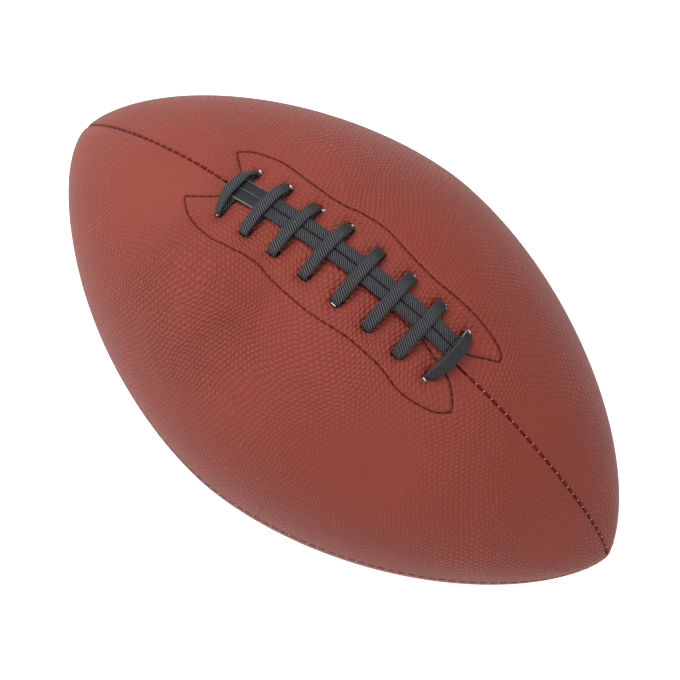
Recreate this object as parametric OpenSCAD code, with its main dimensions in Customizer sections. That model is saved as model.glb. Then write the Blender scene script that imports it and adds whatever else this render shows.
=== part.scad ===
// American football: four sewn cover panels over an inflated bladder, closed by a lacing.
// X runs from point to point, +Z leaves through the lacing, and the origin is the centre.

/* [Ball] */
// Length from point to point
ball_length = 286; // [276:1:296]
// Diameter round the middle
ball_diameter = 165; // [158:1:172]
// Power on the distance from the middle: a higher one gives a fuller belly
belly_power = 1.8; // [1.7:0.01:1.9]
// Power on what is left towards a point: a higher one gives a sharper point
point_power = 0.69; // [0.65:0.01:0.75]
// Swell of a panel between its seams, near the points
swell_share = 0.055; // [0:0.005:0.08]

/* [Cover] */
// Thickness of a cover panel
cover_t = 1.8; // [1.4:0.1:2.2]
// Radius of the edge that rolls into a seam
roll_r = 1.3; // [1.1:0.1:1.8]
// Thickness of the turned-in edge, which is skived
flap_t = 1; // [0.8:0.1:1.3]
// Reach of the turned-in edge below the inner face of the cover
flap_reach = 2.4; // [1.8:0.1:3]
// Radius inside the turned-in edge
flap_fillet = 0.4; // [0.3:0.1:0.7]
// Gap between two turned-in edges
seam_gap = 0.3; // [0.2:0.05:0.5]
// Dip of the cover under the lacing
lacing_dip = 1.2; // [0.8:0.1:1.4]
// Half-width of the bottom of that dip
dip_flat = 4; // [2:0.5:6]
// Distance over which the dip fades out across the seam
dip_fade = 22; // [18:1:28]
// Distance over which the dip fades out past the ends of the lacing
dip_end_fade = 20; // [16:1:26]

/* [Lining and facing] */
// Thickness of the lining behind each panel
lining_t = 1; // [0.6:0.1:1.4]
// Gap between the cover and what lies behind it
ply_gap = 0.6; // [0.5:0.05:0.8]
// Thickness of the facing behind the lace holes
facing_t = 1.2; // [0.8:0.1:1.6]
// Distance from the last cross lace to the corner of the stitched outline of a facing
outline_reach = 15.1; // [12:0.1:18]
// Distance from the seam to the widest place of that outline
outline_width = 22.3; // [20:0.1:24]
// Margin of the facing outside its stitching
facing_margin = 3; // [2:0.5:4]
// Radius of the ball where the linings end
lining_end_r = 28; // [22:1:36]

/* [Lacing] */
// Number of cross laces
cross_count = 8; // [6:1:8]
// Distance from one cross lace to the next
cross_pitch = 14.4; // [13.4:0.1:15]
// Distance from the seam to the outer face of a cross lace
cross_half = 12.9; // [12:0.1:13.6]
// Width of the lace
strap_w = 4.7; // [4:0.1:5.2]
// Thickness of the lace
strap_t = 1.1; // [0.8:0.1:1.2]
// Air between two passes of the lace
strap_gap = 0.5; // [0.46:0.01:0.55]
// Gap between the two long runs
run_gap = 0.5; // [0.45:0.05:0.8]
// Clearance between the lace and what it lies on
rest_gap = 0.3; // [0.2:0.05:0.4]
// Clearance round the lace in its holes
hole_gap = 0.35; // [0.25:0.05:0.45]
// Bow of the first and last cross lace, away from the middle
end_bow = 2.6; // [1:0.1:3]
// Bend radius of the lower pass at a hole
low_bend_r = 1.3; // [1.1:0.1:1.5]
// Bend radius of the upper pass at a hole
up_bend_r = 2.6; // [2:0.1:3]
// Length of a loose end inside the ball
tail_length = 9; // [6:0.5:10]

/* [Threads] */
// Diameter of the facing thread
facing_thread_d = 0.7; // [0.5:0.05:0.9]
// Diameter of the seam thread
seam_thread_d = 0.6; // [0.4:0.05:0.7]
// Clearance below the facing thread
thread_gap = 0.12; // [0.1:0.01:0.2]
// Clearance between the seam thread and the two edges that it lies on
crease_gap = 0.16; // [0.12:0.01:0.25]

/* [Tongue, bladder and valve] */
// Thickness of the tongue below the lacing
tongue_t = 0.8; // [0.6:0.1:1.2]
// Margin of the tongue round the lace holes
tongue_margin = 4; // [3:0.5:6]
// Wall of the bladder
bladder_t = 0.8; // [0.6:0.1:1.2]
// Diameter of the needle bore
needle_d = 2.2; // [2:0.1:2.4]
// Depth of the needle bore
needle_depth = 12; // [9:0.5:14]
// Wall of the plug round the needle bore
plug_wall = 0.6; // [0.5:0.1:0.8]
// Clearance of the plug in its housing
plug_fit = 0.1; // [0.05:0.01:0.15]
// Wall of the housing at the cover
neck_wall = 0.7; // [0.6:0.1:1]
// Diameter of the flange that is bonded to the bladder
flange_d = 20; // [16:1:24]
// Thickness of that flange
flange_t = 0.9; // [0.7:0.1:1.2]
// Depth of the valve's mouth below the cover
mouth_sink = 0.5; // [0.2:0.1:0.8]

/* [Hidden] */

cover_color = "#9a4a40";
cloth_color = "#e4e0d8";
lace_color = "#3c3f42";
facing_thread_color = "#2a1b1d";
seam_thread_color = "#6b1a1a";
rubber_color = "#26262a";
bladder_color = "#3a3234";

// One overrun serves all cuts
over = 2;
round_fn = 128;

// Shape of the ball
half_length = ball_length / 2;
mid_r = ball_diameter / 2;
// Radius of the ball below which everything at a seam gets smaller
skive_r = 14;
// Radius of the ball where the panels end at a point
tip_r = 1.5;

// Depths below the surface of the cover
half_gap = seam_gap / 2;
flap_depth = cover_t + flap_reach;
lining_top = cover_t + ply_gap;
lining_bottom = lining_top + lining_t;
facing_bottom = lining_top + facing_t;
edge_clear = half_gap + flap_t + flap_fillet + rest_gap;
// Depth of the seam thread, where it lies on both rolled edges
crease_reach = roll_r + seam_thread_d / 2 + crease_gap;
thread_sink = roll_r - sqrt(pow(crease_reach, 2) - pow(half_gap + roll_r, 2));

// Heights of the lace's passes above the cover, at the middle of the strap
pass_step = strap_t + strap_gap;
low_h = rest_gap + strap_t / 2;
run_h = low_h + pass_step;
up_h = run_h + pass_step;
low_return_h = -(max(flap_depth, facing_bottom) + rest_gap + strap_t / 2);
up_return_h = low_return_h - pass_step;
tongue_top = rest_gap + strap_t / 2 - up_return_h;
tongue_bottom = tongue_top + tongue_t;

// Places across the lacing
leg_out = cross_half - strap_t / 2;
leg_in = leg_out - pass_step;
leg_mid = (leg_out + leg_in) / 2;
run_side = (strap_w + run_gap) / 2;
flat_turn_r = strap_w / 2 + strap_gap;
step_bow = 3 * strap_gap;
lacing_half = (cross_count - 1) / 2 * cross_pitch;
lacing_end = lacing_half + strap_w;
outline_length = lacing_half + outline_reach;
seam_start = lacing_half + end_bow + strap_w;
slot_w = pass_step + strap_t + 2 * hole_gap;
slot_l = strap_w + 2 * hole_gap;
slot_round = 2 * hole_gap;
tongue_half_length = lacing_half + strap_w / 2 + tongue_margin;
tongue_half_width = leg_out + tongue_margin / 2;

// Bladder, which lies below the turned-in edges and the flange of the valve
bladder_gap = 0.3;
flange_depth = lining_bottom + bladder_gap;
bladder_depth = max(flap_depth, flange_depth + flange_t) + bladder_gap;
bladder_tip_r = 7;
dent_depth = lacing_dip + tongue_bottom + bladder_gap;
dent_length = max(tongue_half_length + tongue_margin, lacing_end + dip_end_fade);
dent_width = tongue_half_width + tongue_margin / 2;

// Valve, which stands at right angles to the middle of a back panel
valve_turn = -135;
plug_d = needle_d + 2 * plug_wall;
plug_floor = 1;
plug_length = needle_depth + plug_floor;
housing_bore_d = plug_d + 2 * plug_fit;
neck_d = housing_bore_d + 2 * neck_wall;
neck_gap = 0.3;
mouth_r = mid_r - mouth_sink;
flange_mid_r = mid_r - flange_depth - flange_t / 2;
boss_wall = 2;
boss_d = housing_bore_d + 2 * boss_wall;
boss_bottom_r = mouth_r - plug_length - plug_fit - boss_wall;

// Counts
panel_steps = 28;
arc_steps = 10;
revolve_steps = 24;
strip_steps = 16;
bend_steps = 3;
thread_steps = 3;
least_steps = 8;

// Shares of the arc from seam to seam, closer together where the cover dips
laced_arc_share = [0.05, 0.11, 0.18, 0.26, 0.35, 0.45, 0.56, 0.67, 0.78, 0.89];
back_arc_share = [for (i = [1 : arc_steps - 1]) i / arc_steps];

// The stitched outline of a facing from its middle to its corner, as shares of its length and width
outline_share = [[0, 1], [0.12, 0.965], [0.24, 0.885], [0.38, 0.865], [0.55, 0.905],
                 [0.7, 0.935], [0.82, 0.86], [0.93, 0.745], [1, 0.605]];
// The rest of it, as shares of the way from the lacing's end to that corner and of its width
outline_end_share = [[0.37, 0.4], [0, 0.262]];

// Section of the lace as shares of its half-width and half-thickness
strap_share = [[1, -0.45], [1, 0.45], [0.86, 1], [-0.86, 1],
               [-1, 0.45], [-1, -0.45], [-0.86, -1], [0.86, -1]];

function unit(v) = v / norm(v);
function ease(t) = let (s = min(1, max(0, t))) s * s * (3 - 2 * s);

// Radius of the ball at a place along X, and what it leans by there
function belly(x) = mid_r * pow(1 - pow(abs(x) / half_length, belly_power), point_power);
function belly_place(r) = half_length * pow(1 - pow(r / mid_r, 1 / point_power), 1 / belly_power);
function lean(x) =
    let (u = abs(x) / half_length)
    atan(sign(x) * mid_r * point_power * belly_power / half_length
         * pow(u, belly_power - 1) * pow(1 - pow(u, belly_power), point_power - 1));

// Dip of the laced seam at a place along X and across it
function dip(x, side) =
    lacing_dip * (1 - ease((abs(x) - lacing_end) / dip_end_fade))
    * (1 - ease((abs(side) - dip_flat) / dip_fade));

// Radius of the cover at an angle from the seam where it starts
function cover_r(x, a, laced) =
    let (lobe = (1 + cos(4 * a)) / 2)
    belly(x) * (1 + swell_share * pow(abs(x) / half_length, 4) * (1 - lobe * lobe))
    - (laced ? dip(x, belly(x) * a * PI / 180) : 0);

// A point at an angle round the ball and a height above the cover
function skin(x, a, h, laced) =
    let (r = cover_r(x, a, laced) + h * cos(lean(x)))
    [x + h * sin(lean(x)), r * sin(a), r * cos(a)];

// The same at a distance from the laced seam, measured along the cover
function laced_skin(x, side, h) =
    let (r = cover_r(x, abs(side) / belly(x) * 180 / PI, true) + h * cos(lean(x)))
    let (a = side / belly(x) * 180 / PI)
    [x + h * sin(lean(x)), r * sin(a), r * cos(a)];

// A point beside the first seam or the second one of a panel, at a distance from the seam's plane
function edge(x, b, d, first, laced) =
    let (a = asin(b / belly(x)))
    let (r = cover_r(x, first ? a : 90 - a, laced) - d * cos(lean(x)))
    let (along = sqrt(r * r - b * b))
    first ? [x - d * sin(lean(x)), b, along] : [x - d * sin(lean(x)), along, b];

// Solid from a row of rings, each with an even number of points and its two halves facing
module loft(rings) {
    n = len(rings[0]);
    last = len(rings) - 1;
    points = [for (ring = rings) for (p = ring) p];
    sides = [for (i = [0 : last - 1]) for (j = [0 : n - 1])
        let (a = i * n + j, b = i * n + (j + 1) % n)
        each [[a, b, a + n], [b, b + n, a + n]]];
    start = [for (j = [0 : n / 2 - 2]) each [[j, n - 1 - j, j + 1], [j + 1, n - 1 - j, n - 2 - j]]];
    end = [for (f = start) [last * n + f[0], last * n + f[2], last * n + f[1]]];
    polyhedron(points = points, faces = concat(sides, start, end), convexity = 6);
}

// Tube of six sides from a row of [centre, sideways, outwards, radius]
function tube_rings(frames) = [for (f = frames)
    [for (k = [0 : 5]) f[0] + f[3] * (cos(60 * k) * f[1] + sin(60 * k) * f[2])]];

// Section of a panel at one place along X
function panel_ring(x, laced) =
    let (k = min(1, belly(x) / skive_r))
    let (rr = roll_r * k, fil = flap_fillet * k, t = cover_t * k)
    let (fd = flap_depth * k, ft = half_gap + flap_t * k)
    let (roll = [for (a = [0, 30, 60, 90]) [half_gap + rr * (1 - cos(a)), rr * (1 - sin(a))]])
    let (fold = [for (a = [0, 30, 60, 90]) [ft + fil * (1 - cos(a)), t + fil * (1 - sin(a))]])
    let (outside = concat([[half_gap, fd]], roll))
    let (inside = concat([[ft, fd]], fold))
    let (a0 = asin((half_gap + rr) / belly(x)), a1 = asin((ft + fil) / belly(x)))
    let (arc_share = laced ? laced_arc_share : back_arc_share)
    concat(
        [for (p = outside) edge(x, p[0], p[1], true, laced)],
        [for (s = arc_share) skin(x, a0 + s * (90 - 2 * a0), 0, laced)],
        [for (i = [4 : -1 : 0]) edge(x, outside[i][0], outside[i][1], false, laced)],
        [for (p = inside) edge(x, p[0], p[1], false, laced)],
        [for (i = [len(arc_share) - 1 : -1 : 0])
            skin(x, a1 + arc_share[i] * (90 - 2 * a1), -t, laced)],
        [for (i = [4 : -1 : 0]) edge(x, inside[i][0], inside[i][1], true, laced)]);

module panel_body(laced) {
    turn = asin(belly_place(tip_r) / half_length);
    loft([for (i = [0 : panel_steps])
        panel_ring(half_length * sin(turn * (2 * i / panel_steps - 1)), laced)]);
}

// Slot for the lace, cut at right angles to the cover
module lace_slot(x) {
    a = leg_mid / belly(x) * 180 / PI;
    out = [sin(lean(x)), cos(lean(x)) * sin(a), cos(lean(x)) * cos(a)];
    translate(laced_skin(x, leg_mid, 0))
        rotate([0, atan2(out[0], out[2]), 0])
            rotate([-asin(out[1]), 0, 0])
                linear_extrude(height = 2 * (facing_bottom + over), center = true) {
                    square([slot_l, slot_w - 2 * slot_round], center = true);
                    square([slot_l - 2 * slot_round, slot_w], center = true);
                    for (sx = [-1, 1])
                        for (sy = [-1, 1])
                            translate([sx * (slot_l / 2 - slot_round), sy * (slot_w / 2 - slot_round)])
                                circle(r = slot_round, $fn = 32);
                }
}

module lace_slots() {
    for (k = [0 : cross_count - 1])
        lace_slot(cross_place(k));
}

module laced_panel() {
    color(cover_color)
        difference() {
            panel_body(true);
            lace_slots();
        }
}

module back_panel(valve_side) {
    color(cover_color)
        difference() {
            panel_body(false);
            if (valve_side)
                rotate([valve_turn + 90, 0, 0])
                    cylinder(d = neck_d + 2 * neck_gap, h = mid_r + over, $fn = 48);
        }
}

// Outline of the ball at a depth below the cover, for a revolved shape
function depth_outline(d, end_r) =
    let (turn = asin(belly_place(end_r) / half_length))
    [for (i = [0 : revolve_steps])
        let (x = half_length * sin(turn * (2 * i / revolve_steps - 1)))
        [belly(x) - d * cos(lean(x)), x - d * sin(lean(x))]];

module revolved(points) {
    rotate([0, 90, 0])
        rotate_extrude($fn = round_fn)
            polygon(points);
}

module revolved_solid(d, end_r) {
    line = depth_outline(d, end_r);
    revolved(concat([[0, line[0][1]]], line, [[0, line[revolve_steps][1]]]));
}

// Fabric lining between the turned-in edges of one panel, starting at the first seam
module lining_body() {
    inner = depth_outline(lining_bottom, lining_end_r);
    intersection() {
        revolved(concat(depth_outline(lining_top, lining_end_r),
                        [for (i = [revolve_steps : -1 : 0]) inner[i]]));
        translate([-half_length, edge_clear, edge_clear])
            cube([ball_length, mid_r, mid_r]);
    }
}

module laced_lining() {
    window_length = outline_length + facing_margin + rest_gap;
    window_width = outline_width + facing_margin + rest_gap;
    color(cloth_color)
        difference() {
            lining_body();
            translate([-window_length, -over, 0])
                cube([2 * window_length, window_width + over, mid_r + over]);
        }
}

module back_lining(valve_side) {
    color(cloth_color)
        difference() {
            lining_body();
            if (valve_side)
                rotate([valve_turn + 90, 0, 0])
                    cylinder(d = neck_d + 2 * neck_gap, h = mid_r + over, $fn = 48);
        }
}

// Distance from the seam to the stitched outline, between two places of its table
function outline_side(x) =
    let (u = min(1, abs(x) / outline_length))
    let (i = max([for (k = [0 : len(outline_share) - 2]) outline_share[k][0] <= u ? k : 0]))
    let (p = outline_share[i], q = outline_share[i + 1])
    outline_width * (p[1] + (q[1] - p[1]) * ease((u - p[0]) / (q[0] - p[0])));

module facing_body() {
    reach = outline_length + facing_margin;
    across_share = [0, 0.25, 0.5, 0.75, 1];
    color(cloth_color)
        difference() {
            loft([for (i = [0 : strip_steps])
                let (x = reach * (2 * i / strip_steps - 1))
                let (wide = outline_side(x) + facing_margin - edge_clear)
                concat([for (s = across_share) laced_skin(x, edge_clear + s * wide, -lining_top)],
                       [for (k = [4 : -1 : 0])
                           laced_skin(x, edge_clear + across_share[k] * wide, -facing_bottom)])]);
            lace_slots();
        }
}

// A smooth line through hand-chosen points, with its own points between them
function smooth_line(p, steps) =
    let (n = len(p) - 1)
    concat([for (i = [0 : n - 1]) for (s = [0 : steps - 1])
        let (t = s / steps, a = p[max(0, i - 1)], b = p[i], c = p[i + 1], d = p[min(n, i + 2)])
        (2 * b + t * (c - a) + t * t * (2 * a - 5 * b + 4 * c - d)
            + t * t * t * (3 * b - a - 3 * c + d)) / 2], [p[n]]);

// Frames of a thread that lies on the cover along places of [x, side]
function laid_frames(places, radius, h) =
    let (line = [for (p = places) laced_skin(p[0], p[1], h)])
    let (up = [for (i = [0 : len(places) - 1])
        unit(laced_skin(places[i][0], places[i][1], h + radius) - line[i])])
    [for (i = [0 : len(line) - 1])
        let (ahead = line[min(i + 1, len(line) - 1)] - line[max(i - 1, 0)])
        [line[i], unit(cross(ahead, up[i])), up[i], radius]];

module facing_thread_body() {
    end_length = outline_length - lacing_end;
    half = concat([for (p = outline_share) [p[0] * outline_length, p[1] * outline_width]],
                  [for (p = outline_end_share)
                      [lacing_end + p[0] * end_length, p[1] * outline_width]]);
    places = concat([for (i = [len(half) - 1 : -1 : 1]) [-half[i][0], half[i][1]]], half);
    radius = facing_thread_d / 2;
    color(facing_thread_color)
        loft(tube_rings(laid_frames(smooth_line(places, thread_steps), radius,
                                    radius + thread_gap)));
}

// Thread in the crease of a seam from one place along X to another, at an angle round the ball
module seam_thread_body(x0, x1, a) {
    turn0 = asin(x0 / half_length);
    turn1 = asin(x1 / half_length);
    steps = max(least_steps, ceil(panel_steps * (turn1 - turn0) / 180));
    frames = [for (i = [0 : steps])
        let (x = half_length * sin(turn0 + (turn1 - turn0) * i / steps))
        let (k = min(1, belly(x) / skive_r), out = [sin(lean(x)), 0, cos(lean(x))])
        [skin(x, 0, -thread_sink * k, a == 0), [0, 1, 0], out, k * seam_thread_d / 2]];
    color(seam_thread_color)
        rotate([-a, 0, 0])
            loft([for (ring = tube_rings(frames)) [for (j = [5 : -1 : 0]) ring[j]]]);
}

seam_thread_end = belly_place(skive_r / 2);

module laced_seam_thread() {
    seam_thread_body(-seam_thread_end, -seam_start, 0);
    seam_thread_body(seam_start, seam_thread_end, 0);
}

module whole_seam_thread(a) {
    seam_thread_body(-seam_thread_end, seam_thread_end, a);
}

// Place of a cross lace along X
function cross_place(k) = (k - (cross_count - 1) / 2) * cross_pitch;

// Sideways bow of a cross lace between its two holes
function bowed(x, side, leg, bow) = x + bow * (1 - pow(side / leg, 2));

// One bend of the lace: places of [x, side, height, turn of its width] round a centre
function bend(side, h, r, from, to) = [for (i = [0 : bend_steps])
    let (a = from + (to - from) * i / bend_steps)
    [0, side + r * cos(a), h + r * sin(a), 0]];

// A bend at a hole at x, which follows the bow of its cross lace
function top_bend(x, side, leg, h, r, from, to, bow) =
    [for (p = bend(side, h, r, from, to)) [bowed(x, p[1], leg, bow), p[1], p[2], 0]];
function floor_bend(x, side, h, from, to) =
    [for (p = bend(side, h + low_bend_r, low_bend_r, from, to)) [x, p[1], p[2], 0]];

// Up through a left hole, over the seam, and down through a right hole
function lace_up(x, leg, top, floor_h, r, bow) = concat(
    floor_bend(x, low_bend_r - leg, floor_h, 270, 180),
    top_bend(x, r - leg, leg, top - r, r, 180, 90, bow));
function lace_down(x, leg, top, floor_h, r, bow) = concat(
    top_bend(x, leg - r, leg, top - r, r, 90, 0, bow),
    floor_bend(x, leg - low_bend_r, floor_h, 0, -90));
function lace_loop(x, leg, top, floor_h, r, bow) = concat(
    lace_up(x, leg, top, floor_h, r, bow),
    [for (s = [-0.5, 0, 0.5])
        [bowed(x, s * (leg - r), leg, bow), s * (leg - r), top, 0]],
    lace_down(x, leg, top, floor_h, r, bow));

// Slanted return inside the ball, from a right hole to the next left one
function slanted(x0, x1, leg, h) = [for (s = [1 / 3, 2 / 3])
    [x0 + (x1 - x0) * s, (leg - low_bend_r) * (1 - 2 * s), h, 0]];

// Flat turn of the lace, in the plane of the cover
function flat_turn(x, side, r, h, from, to, shift) =
    let (steps = bend_steps * abs(to - from) / 90)
    [for (i = [0 : steps])
        let (a = from + (to - from) * i / steps)
        [x + r * cos(a), side + r * sin(a), h, a + shift]];

last_cross = cross_count - 1;
x_first = cross_place(0);
x_last = cross_place(last_cross);

// The first pass: a loose end, then a loop and a slanted return for each pair of holes but the last
first_pass = concat(
    [[x_first, tail_length + low_bend_r - leg_in, low_return_h, 0]],
    [for (k = [0 : last_cross - 1]) each concat(
        lace_loop(cross_place(k), leg_in, low_h, low_return_h, low_bend_r, 0),
        slanted(cross_place(k), cross_place(k + 1), leg_in, low_return_h))]);

// The long run to the first cross lace and back, out of one end hole and into the other
run_rise = cross_pitch - flat_turn_r - strap_w / 2 - strap_gap;
run_places = [for (i = [1 : 2 * last_cross - 2]) x_last - cross_pitch - (i - 1) * cross_pitch / 2];
long_runs = concat(
    lace_up(x_last, leg_in, low_h, low_return_h, low_bend_r, 0),
    flat_turn(x_last - flat_turn_r, -run_side - flat_turn_r, flat_turn_r, low_h, 0, 90, 0),
    [[x_last - flat_turn_r - run_rise, -run_side, run_h, 90]],
    [for (x = run_places) [x, -run_side, run_h, 90]],
    flat_turn(x_first, 0, run_side, run_h, 270, 90, -180),
    [for (i = [len(run_places) - 1 : -1 : 0]) [run_places[i], run_side, run_h, -90]],
    [[x_last - flat_turn_r - run_rise, run_side, run_h, -90]],
    flat_turn(x_last - flat_turn_r, run_side + flat_turn_r, flat_turn_r, low_h, -90, 0, 0),
    lace_down(x_last, leg_in, low_h, low_return_h, low_bend_r, 0));

// The way down to the deeper layer of returns
step_down = [[x_last + step_bow, leg_in / 3, low_return_h, 0],
             [x_last + step_bow, -leg_in / 3, up_return_h, 0]];

// The second pass: a crossing over the long runs for each pair of holes, and a loose end
function end_way(k) = k == 0 ? -1 : k == last_cross ? 1 : 0;
second_pass = concat(
    [for (k = [last_cross : -1 : 0]) each concat(
        lace_loop(cross_place(k), leg_out, up_h, up_return_h, up_bend_r, end_bow * end_way(k)),
        k > 0 ? slanted(cross_place(k), cross_place(k - 1), leg_out, up_return_h) : [])],
    [[x_first, leg_out - low_bend_r - tail_length, up_return_h, 0]]);

lace_route = concat(first_pass, long_runs, step_down, second_pass);

// Frames of [centre, sideways, outwards] along the lace
lace_line = [for (p = lace_route) laced_skin(p[0], p[1], p[2])];
probe = strap_t / 10;
lace_frames = [for (i = [0 : len(lace_route) - 1])
    let (p = lace_route[i], end = len(lace_route) - 1)
    let (ahead = lace_line[min(i + 1, end)] - lace_line[max(i - 1, 0)])
    let (along = unit(laced_skin(p[0] + probe, p[1], 0) - laced_skin(p[0] - probe, p[1], 0)))
    let (side = unit(laced_skin(p[0], p[1] + probe, 0) - laced_skin(p[0], p[1] - probe, 0)))
    let (wide = cos(p[3]) * along + sin(p[3]) * side)
    [lace_line[i], wide, unit(cross(wide, ahead))]];

// Room between two stretches of the lace, each taken as a flat block between two frames,
// measured along the best of the six directions that stand square on their faces
lace_blocks = [for (i = [0 : len(lace_frames) - 2])
    let (f = lace_frames[i], g = lace_frames[i + 1], ahead = (g[0] - f[0]) / 2)
    let (wide = unit(f[1] + g[1]) * strap_w / 2, out = unit(cross(wide, ahead)) * strap_t / 2)
    [(f[0] + g[0]) / 2, [wide, out, ahead],
     [unit(cross(out, ahead)), unit(out), unit(cross(wide, out))]]];
function block_reach(f, axis) = abs(f[1][0] * axis) + abs(f[1][1] * axis) + abs(f[1][2] * axis);
function block_gap(f, g) = max([for (axis = concat(f[2], g[2]))
    abs((g[0] - f[0]) * axis) - block_reach(f, axis) - block_reach(g, axis)]);
near_blocks = 7;
lace_gap = min([for (i = [0 : len(lace_blocks) - 1 - near_blocks])
    for (j = [i + near_blocks : len(lace_blocks) - 1])
        if (norm(lace_blocks[i][0] - lace_blocks[j][0]) < 2 * strap_w)
            block_gap(lace_blocks[i], lace_blocks[j])]);
echo(str("Least gap of the lace to itself: ", lace_gap, " mm"));

module lace() {
    color(lace_color)
        loft([for (f = lace_frames) [for (s = strap_share)
            f[0] + s[0] * strap_w / 2 * f[1] + s[1] * strap_t / 2 * f[2]]]);
}

module tongue() {
    across_share = [-1, -0.67, -0.33, 0, 0.33, 0.67, 1];
    color(cloth_color)
        loft([for (i = [0 : strip_steps])
            let (x = tongue_half_length * (2 * i / strip_steps - 1))
            concat([for (s = across_share) laced_skin(x, s * tongue_half_width, -tongue_top)],
                   [for (k = [6 : -1 : 0])
                       laced_skin(x, across_share[k] * tongue_half_width, -tongue_bottom)])]);
}

// Inflated shape of the bladder at a depth, pressed in below the tongue
module bladder_shape(extra) {
    difference() {
        revolved_solid(bladder_depth + extra, bladder_tip_r);
        difference() {
            translate([-dent_length - extra, -dent_width - extra, 0])
                cube([2 * (dent_length + extra), 2 * (dent_width + extra), mid_r]);
            revolved_solid(dent_depth + extra, bladder_tip_r);
        }
    }
}

module bladder() {
    color(bladder_color)
        difference() {
            bladder_shape(0);
            bladder_shape(bladder_t);
            rotate([valve_turn, 0, 0])
                cylinder(d = boss_d + 2 * neck_gap, h = mid_r + over, $fn = 48);
        }
}

module valve_housing() {
    color(rubber_color)
        rotate([valve_turn, 0, 0])
            difference() {
                union() {
                    translate([0, 0, boss_bottom_r])
                        cylinder(d = boss_d, h = flange_mid_r - boss_bottom_r, $fn = 64);
                    intersection() {
                        cylinder(d = flange_d, h = mid_r, $fn = 64);
                        difference() {
                            revolved_solid(flange_depth, bladder_tip_r);
                            revolved_solid(flange_depth + flange_t, bladder_tip_r);
                        }
                    }
                    translate([0, 0, flange_mid_r])
                        cylinder(d = neck_d, h = mouth_r - flange_mid_r, $fn = 64);
                }
                translate([0, 0, mouth_r - plug_length - plug_fit])
                    cylinder(d = housing_bore_d, h = plug_length + plug_fit + over, $fn = 48);
            }
}

module valve_plug() {
    color(rubber_color)
        rotate([valve_turn, 0, 0])
            difference() {
                translate([0, 0, mouth_r - plug_length])
                    cylinder(d = plug_d, h = plug_length, $fn = 48);
                translate([0, 0, mouth_r - needle_depth])
                    cylinder(d = needle_d, h = needle_depth + over, $fn = 48);
            }
}

mirror([0, 1, 0]) laced_panel();  // panel_laced_left
laced_panel();  // panel_laced_right
mirror([0, 1, 0]) rotate([-90, 0, 0]) back_panel(false);  // panel_back_left
rotate([-90, 0, 0]) back_panel(true);  // panel_back_right
mirror([0, 1, 0]) laced_lining();  // lining_laced_left
laced_lining();  // lining_laced_right
mirror([0, 1, 0]) rotate([-90, 0, 0]) back_lining(false);  // lining_back_left
rotate([-90, 0, 0]) back_lining(true);  // lining_back_right
mirror([0, 1, 0]) facing_body();  // facing_left
facing_body();  // facing_right
mirror([0, 1, 0]) facing_thread_body();  // facing_thread_left
facing_thread_body();  // facing_thread_right
laced_seam_thread();  // seam_thread_laced
whole_seam_thread(-90);  // seam_thread_left
whole_seam_thread(90);  // seam_thread_right
whole_seam_thread(180);  // seam_thread_back
lace();
tongue();
bladder();
valve_housing();
valve_plug();
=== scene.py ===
# %% [markdown]
# # An american football, laced up
# The ball is four sewn leather panels over a bladder, closed by a strap that crosses
# eight times over two long runs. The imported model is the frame: it holds every real size,
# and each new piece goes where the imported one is. Here the panels, the strap, the facings
# and all stitches are modelled again as fine meshes, because leather that rolls into a
# seam and a strap that dives into its holes are what the eye looks for on this ball.

# %% Load the frame
import math

import bmesh
import bpy
import numpy as np
from mathutils import Matrix, Vector


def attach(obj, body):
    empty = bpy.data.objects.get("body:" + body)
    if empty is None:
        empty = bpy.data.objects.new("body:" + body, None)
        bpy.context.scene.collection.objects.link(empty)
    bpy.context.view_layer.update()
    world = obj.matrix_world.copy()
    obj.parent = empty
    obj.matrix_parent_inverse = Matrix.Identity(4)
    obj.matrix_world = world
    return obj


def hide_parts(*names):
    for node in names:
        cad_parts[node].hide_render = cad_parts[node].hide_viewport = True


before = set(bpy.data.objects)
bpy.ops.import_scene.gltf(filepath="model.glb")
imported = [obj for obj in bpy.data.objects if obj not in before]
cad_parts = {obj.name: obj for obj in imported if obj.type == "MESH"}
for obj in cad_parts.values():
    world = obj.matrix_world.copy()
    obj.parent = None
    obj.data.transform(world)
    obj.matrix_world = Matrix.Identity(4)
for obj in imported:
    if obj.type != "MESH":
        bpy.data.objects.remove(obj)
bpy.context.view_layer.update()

MM = 0.001
print("nodes in the frame:", len(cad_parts))

# %% [markdown]
# ## Camera
# The photograph looks down on the lacing from the ball's left and from its +X end.
# The outline and the eight cross laces were fitted to a pinhole camera, which gave the
# distance, the directions and the lens below. The fit also put the ball's middle a few
# pixels beside the middle of the picture, and a small lens shift does the same here.

# %% Camera
VIEW_DISTANCE_MM = 585
VIEW_BACK = Vector((0.1747, -0.2689, 0.9472)).normalized()
VIEW_RIGHT = Vector((0.7639, 0.6439, 0.042))
PICTURE_PX = 680
FOCAL_PX = 1396.1
MIDDLE_LEFT_PX = 4.82
MIDDLE_UP_PX = 5.28
SENSOR_MM = 36
NEAR_CLIP_MM = 10


def new_object(name, data):
    """Puts a thing into the scene"""
    made = bpy.data.objects.new(name, data)
    bpy.context.collection.objects.link(made)
    return made


camera_data = bpy.data.cameras.new("camera")
camera_data.sensor_width = SENSOR_MM
camera_data.lens = SENSOR_MM * FOCAL_PX / PICTURE_PX
camera_data.shift_x = MIDDLE_LEFT_PX / PICTURE_PX
camera_data.shift_y = -MIDDLE_UP_PX / PICTURE_PX
camera_data.clip_start = NEAR_CLIP_MM * MM
camera = new_object("camera", camera_data)
view_up = VIEW_BACK.cross(VIEW_RIGHT).normalized()
view_right = view_up.cross(VIEW_BACK)
turn = Matrix((view_right, view_up, VIEW_BACK)).transposed().to_4x4()
camera.matrix_world = Matrix.Translation(VIEW_BACK * VIEW_DISTANCE_MM * MM) @ turn
bpy.context.scene.camera = camera
print("lens in mm:", round(camera_data.lens, 1))

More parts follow.
